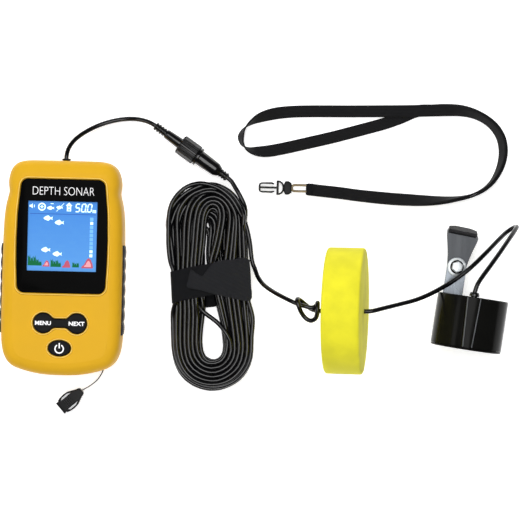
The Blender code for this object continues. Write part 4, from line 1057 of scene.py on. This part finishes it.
def weed(low_x, high_x, low_y, high_y, leaves):
    """A tuft of broad pointed leaves, tallest on its left."""
    outline = [(low_x, low_y)]
    for i in range(leaves):
        share = i / leaves
        tall = (high_y - low_y) * (1.0, 0.82, 0.92, 0.62, 0.42)[i % 5]
        left = low_x + (high_x - low_x) * share
        step = (high_x - low_x) / leaves
        outline += [(left + 0.1 * step, low_y + tall * 0.5), (left + 0.2 * step - 0.3, low_y + tall * 0.93),
                    (left + 0.55 * step, low_y + tall * 0.72), (left + 0.75 * step, low_y + tall),
                    (left + 0.98 * step, low_y + tall * 0.45)]
    return outline + [(high_x, low_y)]


def rock(low_x, high_x, low_y, high_y):
    w, h = high_x - low_x, high_y - low_y
    shape = [(0.0, 0.0), (0.02, 0.16), (0.22, 0.34), (0.4, 0.78), (0.58, 1.0), (0.78, 0.86), (0.94, 0.4),
             (1.0, 0.08), (0.92, 0.0)]
    return [(low_x + a * w, low_y + b * h) for a, b in shape]


def make_symbols():
    low, high = SCREEN_TOP - 0.02, SCREEN_TOP + 0.05

    def group(name, finish, outlines, shapes=(), above=False):
        lift = 0.03 if above else 0.0
        parts = [prism(outline, low + lift, high + lift) for outline in outlines] + list(shapes)
        add(f"display_{name}", joined(*parts), finish, "handset", "screen_window")

    spots = ((-8.8, 30.0), (-2.0, 27.5), (-9.8, 10.9), (-2.8, 8.5))
    group("fish", "icon", [fish(x, y, 5.7) for x, y in spots])
    group("divider", "line", [rectangle(0.2, 32.7, 20.0, 0.2)])
    depth = []
    for sign, x in (("5", 9.0), ("0", 12.6), ("0", 16.2)):
        depth += digit(sign, x, 36.7, 1.15, 2.3)
    point = rectangle(14.0, 34.3, 0.32, 0.32)
    unit = [rectangle(x, 34.6, 0.24, 0.8) for x in (18.2, 19.0, 19.8)]
    unit.append(rectangle(19.0, 35.3, 1.0, 0.24))
    group("depth_figures", "icon", depth + [point] + unit)
    loudspeaker = [(-20.2, 37.9), (-19.3, 37.9), (-18.3, 38.8), (-18.3, 35.8), (-19.3, 36.7),
                   (-20.2, 36.7)]
    roof = [(3.7, 39.8), (5.6, 37.9), (5.0, 37.6), (5.0, 34.5), (2.4, 34.5), (2.4, 37.6), (1.8, 37.9)]
    signs = [loudspeaker, roof, rectangle(-12.7, 36.9, 0.3, 1.0), rectangle(-12.7, 36.9, 1.0, 0.3),
             rectangle(-17.3, 37.3, 0.18, 0.8), fish(-7.4, 36.2, 4.4), fish(-2.0, 36.6, 4.0),
             rectangle(-6.6, 38.9, 0.9, 0.22), rectangle(-1.6, 36.8, 0.22, 2.5, 0.9)]
    group("signs", "icon", signs, [ring_shape(-12.7, 36.9, 2.4, 1.6, low, high)])
    group("window_bars", "screen", [rectangle(3.7, y, 0.5, 0.4) for y in (35.4, 37.2)], above=True)
    scale_x = 17.6
    group("scale", "pale", [rectangle(scale_x, 30.0 - 2.45 * i, 1.0, 1.0) for i in range(10)])
    group("scale_marks", "icon", [rectangle(scale_x, y, 0.85, 0.85) for y in (27.5, 10.4, 7.9)], above=True)
    group("weed", "weed", [weed(-20.5, -12.1, 1.3, 8.0, 5), weed(-6.7, -0.4, 0.7, 5.6, 4),
                           weed(6.4, 10.5, 0.7, 4.0, 3)])
    group("rocks", "red", [rock(-11.6, -7.2, 0.8, 4.6), rock(0.3, 5.3, 0.4, 5.0),
                           rock(12.0, 19.1, 0.3, 6.5)])
    group("rock_lights", "pink", [rock(-10.5, -8.0, 1.5, 3.6), rock(13.6, 17.9, 1.1, 4.9)], above=True)


def make_keys():
    for name, outline in (("menu_key", dumbbell_outline), ("power_key", power_outline)):
        shape = loft([[(x, y, z) for x, y in outline(grow)] for z, grow in KEY_SECTIONS])
        add(f"{name}_cap", shape, "rubber", name, "black_rubber", name)
    for name, words, x in (("menu", "MENU", -LOBE_X), ("next", "NEXT", LOBE_X)):
        lettering(name, words, (x, MENU_KEY_Y), KEY_TOP, (9.6, 2.5), "white", "menu_key", 0.03)
    low, high = KEY_TOP - 0.02, KEY_TOP + 0.06
    outer = arc((0, 0), 2.9, 120, 420, 40)
    inner = arc((0, 0), 2.15, 420, 120, 40)
    sign = [prism(outer + inner, low, high), prism(rectangle(0, 1.9, 0.38, 1.6), low, high)]
    mark = moved(joined(*sign), Matrix.Translation((0, POWER_KEY_Y - 0.3, 0)))
    add("power_mark", mark, "white", "power_key", "screen_window")


def dress(finish, *names):
    """Gives a finish to CAD nodes that stay as they are."""
    for name in names:
        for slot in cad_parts[name].material_slots:
            slot.material = FINISHES[finish]


def make_handset():
    make_front()
    make_rear()
    make_grip("grip_right", 1)
    make_grip("grip_left", -1)
    make_window()
    make_symbols()
    make_keys()
    bush = turned(rounded(GLAND_PROFILE, 0.25), 48)
    shape = moved(bush, aimed((0, 0, GLAND_HEIGHT), (0, 1, 0)))
    add("gland_bush", shape, "rubber", "handset", "black_rubber", "cable_gland")
    refined("battery_hatch", "battery_door", "battery_door", "case_yellow", "case", 0.25)
    refined("tether_bar", "lanyard_bar", "handset", "zinc_plate", "zinc", 0.2)
    for number in range(1, 5):
        refined(f"back_screw_{number}", f"case_screw_{number}", "handset", "zinc_plate", "zinc", 0.12)
        dress("cell", f"battery_{number}")
    dress("rubber", "case_gasket", "window_seal")
    dress("black", "buzzer", "backlight")
    dress("zinc", "contact_plate_lower", "contact_plate_upper", "key_switch_1", "key_switch_2",
          "key_switch_3")
    dress("board", "main_board")


# Screw connector on the cable

CONNECTOR_START = Vector((53.6, 88.9, 6.4))
CONNECTOR_END = Vector((98.8, 57.9, 6.4))
# Radius and distance along the connector from its start
PLUG_PROFILE = [
    (1.6, 7.8), (2.6, 7.9), (2.9, 9.0), (3.3, 17.9), (3.3, 20.3), (4.6, 20.3), (4.6, 22.0), (2.9, 22.0),
    (2.9, 30.4),
]
NUT_PROFILE = [
    (3.7, 20.0), (3.7, 18.8), (5.6, 18.8), (6.2, 19.5), (6.2, 30.8), (5.7, 31.4), (5.0, 31.4),
    (5.0, 20.0), (3.7, 20.0),
]
SOCKET_PROFILE = [
    (3.3, 34.0), (3.3, 23.9), (4.6, 23.9), (4.6, 31.8), (5.9, 31.8), (5.9, 33.2), (4.6, 33.4),
    (4.5, 38.0), (4.1, 46.0), (2.7, 48.9), (1.7, 49.0),
]


def strain_relief(start, end, thick, thin, ribs):
    """Profile of a strain relief whose round rings alternate with narrow grooves."""
    pitch = (end - start) / ribs
    profile = []
    for i in range(ribs):
        a = start + i * pitch
        for step in range(9):
            fall = 0.45 * (1 - math.sin(math.pi * step / 8))
            profile.append((thick - fall, a + 0.7 * pitch * step / 8))
        profile += [(thin, a + 0.74 * pitch), (thin, a + 0.98 * pitch)]
    return profile


def make_connector():
    place = aimed(CONNECTOR_START, (CONNECTOR_END - CONNECTOR_START).normalized())
    plug = strain_relief(0.0, 7.8, 2.7, 2.05, 4) + rounded(PLUG_PROFILE, 0.25)
    add("cable_plug", moved(turned(plug), place), "black", "handset", "black_plastic", "plug_body")
    nut = turned(rounded(NUT_PROFILE, 0.3)[:-1], 224, closed=True, ribs=16, depth=0.9, ribs_from=5.3)
    ring = new_object("screw_ring", moved(nut, place), "black", sharp=50.0)
    assign(ring, "coupling_nut", "black_plastic", "coupling_nut")
    socket = rounded(SOCKET_PROFILE, 0.25) + strain_relief(49.0, 54.8, 2.7, 2.1, 3)
    add("cable_socket", moved(turned(socket), place), "black", "handset", "black_plastic", "socket_body")
    dress("rubber", "plug_seal")


# Strap, in the hank's frame

FLAP_OUTLINE = [
    (-14.4, 0.0), (-13.6, 4.5), (-11.7, 10.4), (-8.4, 8.2), (-5.1, 6.3), (-2.7, 8.7), (-0.3, 11.6),
    (2.6, 14.0), (8.2, 15.4), (15.1, 15.6), (20.5, 16.4), (23.8, 14.6), (24.7, 10.0), (24.7, 0.0),
    (23.8, -10.1), (12.3, -7.9), (2.2, -5.1), (-6.0, -2.4),
]
FLAP_THICKNESS = 1.1


def strap_section(inside):
    """Rounded rectangle across the hank, as (x, z), set in by a distance."""
    half_x = STRAP_HALF_WIDTH - inside
    low, high = inside, STRAP_HEIGHT - inside
    r = 3.6 - inside
    corners = [(half_x - r, high - r, 0), (r - half_x, high - r, 90), (r - half_x, low + r, 180),
               (half_x - r, low + r, 270)]
    section = []
    for x, z, start in corners:
        section += arc((STRAP_MIDDLE_X + x, z), r, start, start + 90, 8)
    ends = section[1:] + section[:1]
    split = []
    for (x, z), (next_x, next_z) in zip(section, ends):
        pieces = 12 if abs(next_x - x) > 20 else 1
        split += [(x + (next_x - x) * i / pieces, z + (next_z - z) * i / pieces) for i in range(pieces)]
    return split


def strap_lift(x, z):
    """How far the band, wound at a slant, sits above or below its middle."""
    share = min(max((x - STRAP_MIDDLE_X + STRAP_HALF_WIDTH) / (2 * STRAP_HALF_WIDTH), 0.0), 1.0)
    front = STRAP_RISE * (1 - (1 - share) ** 2)
    back = STRAP_RISE * share ** 3 - STRAP_SAG * math.sin(math.pi * share)
    upper = eased(min(max((z - 3.0) / (STRAP_HEIGHT - 6.0), 0.0), 1.0))
    return back + (front - back) * upper


def make_strap():
    place = placed(HANK_CENTRE[0], HANK_CENTRE[1], 0.0, HANK_TILT)
    half = STRAP_HALF_LENGTH
    edge = 0.35
    outside, inside = 0.9, 0.9 + STRAP_THICKNESS * 0.6
    rings = []
    steps = [(-half + edge, inside), (-half, inside - 0.2), (-half, outside + 0.2), (-half + edge, outside)]
    steps += [(-half + edge + (2 * half - 2 * edge) * i / 12, outside) for i in range(1, 12)]
    steps += [(half - edge, outside), (half, outside + 0.2), (half, inside - 0.2), (half - edge, inside)]
    for y, depth in steps:
        wave = 0.12 * math.sin(y * 0.55)
        rings.append([(x, y + strap_lift(x, z), z + (wave if z > STRAP_HEIGHT / 2 else 0.0))
                      for x, z in strap_section(depth)])
    band = add("hank_band", moved(loft(rings, closed=True), place), "strap", "handset",
               "strap_fabric", "hank_strap")
    outline = [(p.x + STRAP_MIDDLE_X, p.y) for p in smooth_curve(FLAP_OUTLINE, 4, closed=True)]
    low = STRAP_HEIGHT - outside + 0.02
    flap = add("band_flap", moved(prism(outline, low, low + FLAP_THICKNESS, 0.25), place),
               "strap_loop", "handset", "strap_fabric")


# Float

FLOAT_CENTRE = Vector((171.8, -21.3, 39.1))
FLOAT_LEAN = math.radians(7.6)
FLOAT_RADIUS = 38.0
FLOAT_HALF_WIDTH = 11.25
FLOAT_EDGE = 1.5
FLOAT_BORE = 2.0


def make_float():
    axis = Vector((math.cos(FLOAT_LEAN), 0.0, math.sin(FLOAT_LEAN)))
    r, half, edge = FLOAT_RADIUS, FLOAT_HALF_WIDTH, FLOAT_EDGE
    profile = [(FLOAT_BORE, -half), (6.0, -half), (r - edge, -half)]
    profile += arc((r - edge, edge - half), edge, -90, 0, 5)
    profile += [(r, half * i / 4) for i in range(-3, 4)]
    profile += arc((r - edge, half - edge), edge, 0, 90, 5)
    profile += [(6.0, half), (FLOAT_BORE, half)]
    shape = turned(profile, 128, closed=True)
    draw = np.random.RandomState(3)
    phases = draw.uniform(0, math.tau, 6)
    points = []
    for point in shape[0]:
        angle = math.atan2(point.y, point.x)
        swell = sum(math.sin((k + 2) * angle + phases[k] + 0.12 * k * point.z) for k in range(6)) / 6
        share = 1 - 0.006 * (0.5 + 0.5 * swell) if point.xy.length > 20 else 1.0
        points.append(Vector((point.x * share, point.y * share, point.z)))
    foam_ring = add("foam_disc", moved((points, shape[1]), aimed(FLOAT_CENTRE, axis)), "foam", "float",
                    "float_foam", "float")


# Transducer, in a frame with +Y along its axis

SENSOR_CENTRE = Vector((248.0, -27.2, 21.5))
SENSOR_TURN = math.radians(-7.3)
RIDGE_X = -1.6
GLAND_Z = 19.5
BOLT_X = -12.03
# Radius and distance along the axis. The first point of a solid end is just off the axis.
CUP_PROFILE = [
    (0.0001, 12.5), (18.9, 12.5), (18.9, -14.5), (21.5, -14.5), (21.5, 15.2), (21.35, 15.6),
    (21.0, 15.9), (20.6, 16.0), (0.0001, 16.0),
]
FACE_PROFILE = [
    (0.0001, -16.0), (20.9, -16.0), (21.5, -15.4), (21.5, -14.8), (18.6, -14.8), (18.6, -12.4),
    (0.0001, -12.4),
]
BUSH_PROFILE = [(1.9, 14.6), (1.9, 16.3), (3.0, 16.3), (3.0, 17.8), (2.4, 18.8)]


def make_transducer():
    place = placed(*SENSOR_CENTRE, SENSOR_TURN)
    along = aimed((0, 0, 0), (0, 1, 0))
    body = new_object("transducer_cup", moved(turned(CUP_PROFILE, 128), along), "gloss")
    rings = []
    for y, w in ((-14.5, 2.7), (15.6, 3.9)):
        half = [(w + 1.1, 18.0), (w + 1.1, 20.6), (w + 0.1, 22.45), (w - 0.15, 22.7), (w - 0.5, 22.8)]
        section = [(RIDGE_X + x, z) for x, z in half] + [(RIDGE_X - x, z) for x, z in reversed(half)]
        rings.append([(x, y, z) for x, z in section])
    wedge = new_object("wedge", loft(rings), "gloss")
    cut(wedge, moved(turned([(19.6, -20), (19.6, 13.0)], 96), along))
    points = [Vector(v.co) / MM for v in wedge.data.vertices]
    ridge = (points, [tuple(p.vertices) for p in wedge.data.polygons])
    bpy.data.objects.remove(wedge)
    combine(body, "UNION", [ridge])
    slot = box((BOLT_X - 6.3, 9.5, -7.6), (BOLT_X + 6.3, 20.0, -5.5))
    gland = Matrix.Translation((RIDGE_X, 0, GLAND_Z)) @ along
    cut(body, slot, moved(cylinder(2.2, 14.2, 20.0), gland))
    body.data.transform(Matrix.Translation(SENSOR_CENTRE * MM) @ Matrix.Rotation(SENSOR_TURN, 4, "Z"))
    assign(body, "handset", "sensor_gloss", "sensor_case")
    # Light grey bars along the ridge's edges: painted highlights where the edges catch the light
    for side, name in ((-1, "left"), (1, "right")):
        line = bead([(RIDGE_X + side * 2.6, -14.2, 22.35), (RIDGE_X + side * 3.2, 0.4, 22.35),
                     (RIDGE_X + side * 3.8, 15.3, 22.35)], 0.5, closed=False, sides=10)
        add(f"{name}_ridge_painted_highlight", moved(line, place), "edge", "handset", "sensor_gloss")
    disc = turned(rounded(FACE_PROFILE, 0.3), 128)
    add("transducer_face", moved(disc, place @ along), "gloss", "handset", "sensor_gloss", "sensor_face")
    bush = turned(rounded(BUSH_PROFILE, 0.25), 48)
    add("transducer_gland", moved(bush, place @ gland), "black", "handset", "black_rubber",
        "sensor_gland")
    dress("ceramic", "piezo_disc")
    dress("cork", "cork_backing")
    dress("rubber", "sensor_potting")


# Piece, its CAD node, finish and rounding of its edges
FASTENERS = [
    ("mounting_tab", "sensor_tab", "tab", 0.2), ("flat_washer", "bolt_washer", "zinc", 0.15),
    ("spring_washer", "lock_washer", "zinc", 0.12), ("hex_nut", "bolt_nut", "zinc", 0.3),
]
HEAD_LOW = 17.2


def make_bracket():
    refined("tilt_arm", "bracket_arm", "bracket", "satin_steel", "satin", 0.3)
    refined("arm_pad", "bracket_pad", "bracket", "black_rubber", "grip", 0.4)
    for name, node_name, finish, width in FASTENERS:
        refined(name, node_name, "handset", "zinc_plate", finish, width)
    low, high = (Vector(p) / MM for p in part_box("tilt_bolt"))
    middle = (low + high) / 2
    hexagon = arc((0, 0), 3.5, 18, -282, 5)
    place = Matrix.Translation((middle.x, middle.y, 0.0))
    head = new_object("bolt_head", moved(prism(hexagon, HEAD_LOW, high.z, 0.5), place), "zinc")
    combine(head, "UNION", [moved(cylinder(2.5, low.z, HEAD_LOW + 0.2), place)])
    assign(head, "handset", "zinc_plate", "tilt_bolt")
    # A thin ring under the bolt's head in the black cable finish: a painted shadow between the head and the
    # washer
    shadow_ring = rounded([(2.6, 16.92), (4.2, 16.92), (4.2, 17.25), (3.4, 17.6), (2.6, 17.6)], 0.15)
    add("bolt_shadow_ring", moved(turned(shadow_ring, 48, closed=True), place), "cable", "handset", "zinc_plate")


# Tether and lanyard

TETHER_ROUTE = [
    (12.3, -75.0, 3.4), (16.8, -72.3, 4.5), (21.6, -68.2, 6.4), (24.6, -63.4, 7.9), (25.3, -60.2, 8.2),
    (25.3, -58.2, 8.05), (25.3, -56.96, 7.54), (25.3, -56.45, 6.3), (25.3, -56.96, 5.06),
    (25.3, -58.2, 4.55), (25.3, -60.2, 4.5), (24.6, -63.4, 4.8), (21.6, -68.2, 4.1), (16.8, -72.3, 3.0),
    (12.3, -75.0, 2.4),
]
TETHER_WIDTH = 0.7
WEBBING_WIDTH = 7.4
WEBBING_THICKNESS = 1.0
PLY_STEP = 1.3
FLOOR_GAP = 0.1
# Webbing routes as x, y and the tilt of the webbing from flat in degrees
DOUBLED_RUN = [
    (148.3, 52.3, 0), (158, 51.4, 0), (168.3, 50.5, 0), (178, 49.4, 0), (187, 48.6, 4),
    (196, 47.9, 10), (205.5, 47.4, 20), (215, 47.1, 33), (224.5, 47.1, 48), (233, 47.6, 65),
    (241, 48.7, 80), (249, 50.6, 88), (256, 54.0, 88), (261.5, 58.9, 84), (265.3, 65.2, 76),
    (267.6, 72, 68), (268.3, 79, 63), (267, 86, 62), (263.5, 92.2, 63), (258, 97.2, 64),
    (250.5, 101, 58), (242, 103, 42), (233, 103.3, 24), (224, 102.9, 8), (215, 102.4, 0),
]
UPPER_RUN = [
    (205, 102.0, 0), (195, 101.7, 0), (184, 101.4, 0), (172, 101.1, 0), (160, 100.9, 0),
    (148, 100.6, 0), (137, 100.0, 4), (127, 98.6, 16), (118.5, 96.0, 42), (112.4, 92.6, 74),
    (108.2, 88.6, 100), (106.3, 84.0, 118), (107.2, 79.5, 104), (110.4, 76.3, 74),
]
LOWER_RUN = [
    (115.8, 75.0, 40), (122.5, 75.2, 14), (130, 76.6, 2), (140, 79.0, 0), (151, 81.8, 0),
    (162, 84.6, 0), (173, 87.7, 0), (184, 90.9, 0), (195, 94.2, 0), (205, 98.0, 0),
]
CREST_X = (165.0, 190.0)


def webbing_stations():
    """Centre, direction across and normal at each station round the webbing's loop. Its two plies
    lie on each other along the doubled run, which the loop follows out and back."""
    out = [(x, y, tilt, 1) for x, y, tilt in DOUBLED_RUN]
    single = [(x, y, tilt, 0) for x, y, tilt in UPPER_RUN + LOWER_RUN]
    back = [(x, y, -tilt, -1) for x, y, tilt in reversed(DOUBLED_RUN)]
    route = out + single + back
    stations = []
    for i, (x, y, tilt, ply) in enumerate(route):
        before, after = route[max(i - 1, 0)], route[min(i + 1, len(route) - 1)]
        run = Vector((after[0] - before[0], after[1] - before[1], 0.0)).normalized()
        left = Vector((-run.y, run.x, 0.0))
        angle = math.radians(tilt)
        across = left * math.cos(angle) - Vector((0, 0, 1)) * math.sin(angle)
        normal = left * math.sin(angle) + Vector((0, 0, 1)) * math.cos(angle)
        flat, edge = abs(math.cos(angle)), abs(math.sin(angle))
        height = WEBBING_WIDTH / 2 * edge + WEBBING_THICKNESS / 2 * flat + FLOOR_GAP
        if len(DOUBLED_RUN) <= i < len(DOUBLED_RUN) + len(UPPER_RUN):
            height += PLY_STEP * min(max((x - CREST_X[0]) / (CREST_X[1] - CREST_X[0]), 0.0), 1.0)
        centre = Vector((x, y, height))
        if ply:
            centre += Vector((0, 0, PLY_STEP / 2 * flat)) + normal * ply * PLY_STEP / 2
        stations.append((centre, across, normal))
    return stations


def make_webbing():
    """The woven loop in two lengths, with rounded selvedges. They meet where the loop's own
    doubled run begins again. Each comes with its middle line."""
    stations = webbing_stations()
    steps = 4
    middle = smooth_curve([s[0] for s in stations], steps)
    across = smooth_curve([s[1] for s in stations], steps)
    normal = smooth_curve([s[2] for s in stations], steps)
    half, thick = WEBBING_WIDTH / 2, WEBBING_THICKNESS / 2
    upper = [(half, 0.3), (half - 0.3, thick), (2.4, thick), (1.2, thick), (0.0, thick), (-1.2, thick),
             (-2.4, thick), (0.3 - half, thick), (-half, 0.3)]
    section = [(a, -b) for a, b in reversed(upper)] + upper
    rings, along = [], [0.0]
    for a, b in zip(middle, middle[1:]):
        along.append(along[-1] + (b - a).length)
    for centre, side, up in zip(middle, across, normal):
        side = side.normalized()
        up = (up - side * up.dot(side)).normalized()
        rings.append([centre + side * a + up * b for a, b in section])
    meeting = steps * (len(stations) - len(DOUBLED_RUN))
    tapes = []
    lengths = (("lanyard_tape", 0, meeting), ("lanyard_tape_return", meeting, len(rings) - 1))
    for name, first, last in lengths:
        tape = new_object(name, loft(rings[first:last + 1]), "webbing", sharp=60.0)
        layer = tape.data.uv_layers.new(name="weave")
        for loop in tape.data.loops:
            ring, place = divmod(loop.vertex_index, len(section))
            layer.data[loop.index].uv = (section[place][0], along[first + ring])
        assign(tape, "lanyard", "webbing", "lanyard_webbing")
        tapes.append((tape, middle[first:last + 1]))
    return tapes


def make_link():
    """The wire oval between the knuckle and the webbing."""
    start, end, half, r = 9.4, 20.4, 1.9, 0.75
    path = arc((end - half, 0), half, -90, 90, 16) + arc((start + half, 0), half, 90, 270, 16)
    shape = moved(bead([(x, y, 0.0) for x, y in path], r, sides=12), Matrix.Translation(PLUG_BASE))
    add("wire_oval", shape, "wire", "lanyard", "wire_link", "lanyard_link")


def mirrored(half):
    """A closed clockwise outline from its half with y >= 0."""
    outline = half + [(x, -y) for x, y in reversed(half) if abs(y) > 1e-6]
    points = [Vector(p) for p in outline]
    area = sum(a.x * b.y - b.x * a.y for a, b in zip(points, points[1:] + points[:1]))
    return outline[::-1] if area > 0 else outline


PLUG_BASE = (129.0, 52.8, 2.7)
PLUG_OUTLINE = [
    (4.6, 1.7), (3.7, 3.3), (2.0, 4.4), (0, 4.5), (0, 0.6), (-9.8, 0.6), (-9.8, 1.9), (-9.2, 2.15),
    (-3.0, 2.2), (-1.5, 1.8), (-1.2, 2.5), (-2.8, 3.3), (-9.3, 3.1), (-10.6, 2.5), (-11.1, 1.2),
]
PLUG_OPENING = [(1.4, 3.3), (2.4, 3.0), (3.3, 1.9), (3.6, 0.9)]
KNUCKLE_OUTLINE = [(4.3, 1.6), (5.2, 3.9), (6.3, 4.2), (7.6, 4.1), (9.3, 2.8)]
SHELL_OUTLINE = [
    (0, 1.5), (0.8, 2.5), (2.6, 2.9), (4.6, 3.9), (7.5, 5.2), (10.5, 5.5), (13.5, 5.2), (15.3, 4.6),
    (15.6, 3.9), (17.3, 4.25),
]
SHELL_WINDOW = [(6.2, 3.4), (8.3, 4.4), (12.9, 4.4), (14.4, 3.4)]
SHELL_BASE = Vector((12.0, -75.2, 2.9))
SHELL_TURN = math.radians(-138.5)
WEBBING_END_OUTLINE = [(147.2, 55.7), (151.6, 55.9), (151.6, 48.5), (147.2, 48.9)]


def make_accessories():
    place = Matrix.Translation(PLUG_BASE)
    plug = new_object("side_squeeze_plug", moved(prism(mirrored(PLUG_OUTLINE), -1.5, 1.5, 0.22), place),
                      "buckle")
    cut(plug, moved(prism(mirrored(PLUG_OPENING), -3, 3), place))
    assign(plug, "lanyard", "black_plastic", "buckle_plug")
    knuckle = moved(prism(mirrored(KNUCKLE_OUTLINE), -2.5, 2.5, 0.7), place)
    add("swivel_knuckle", knuckle, "buckle", "lanyard", "black_plastic", "lanyard_knuckle")
    add("webbing_end", prism(WEBBING_END_OUTLINE, 0.15, 3.5, 0.5), "strap", "lanyard", "webbing")
    shell = new_object("buckle_shell", prism(mirrored(SHELL_OUTLINE), -2.75, 2.75, 0.6), "buckle")
    grooves = [box((-0.1 + x, -4.0, 2.35), (0.3 + x, 4.0, 3.5)) for x in (8.6, 9.8, 11.0, 12.2)]
    other_window = [(x, -y) for x, y in reversed(SHELL_WINDOW)]
    cut(shell, prism(SHELL_WINDOW, -6, 6), prism(other_window, -6, 6), box((7, -2.9, -1.7), (20, 2.9, 1.7)))
    cut(shell, *grooves)
    shell.data.transform(Matrix.Translation(SHELL_BASE * MM) @ Matrix.Rotation(SHELL_TURN, 4, "Z"))
    assign(shell, "handset", "black_plastic", "buckle_socket")
    make_link()


make_stage()
FINISHES = make_finishes()
handset_cable, sensor_cable = make_cables()
tether_points = [p * MM for p in smooth_curve(TETHER_ROUTE, 4)]
tether = round_cord("tether_loop", tether_points, TETHER_WIDTH, "thread")
assign(tether, "handset", "cable_jacket", "tether_cord")
tapes = make_webbing()
make_handset()
make_connector()
make_strap()
make_float()
make_transducer()
make_bracket()
make_accessories()
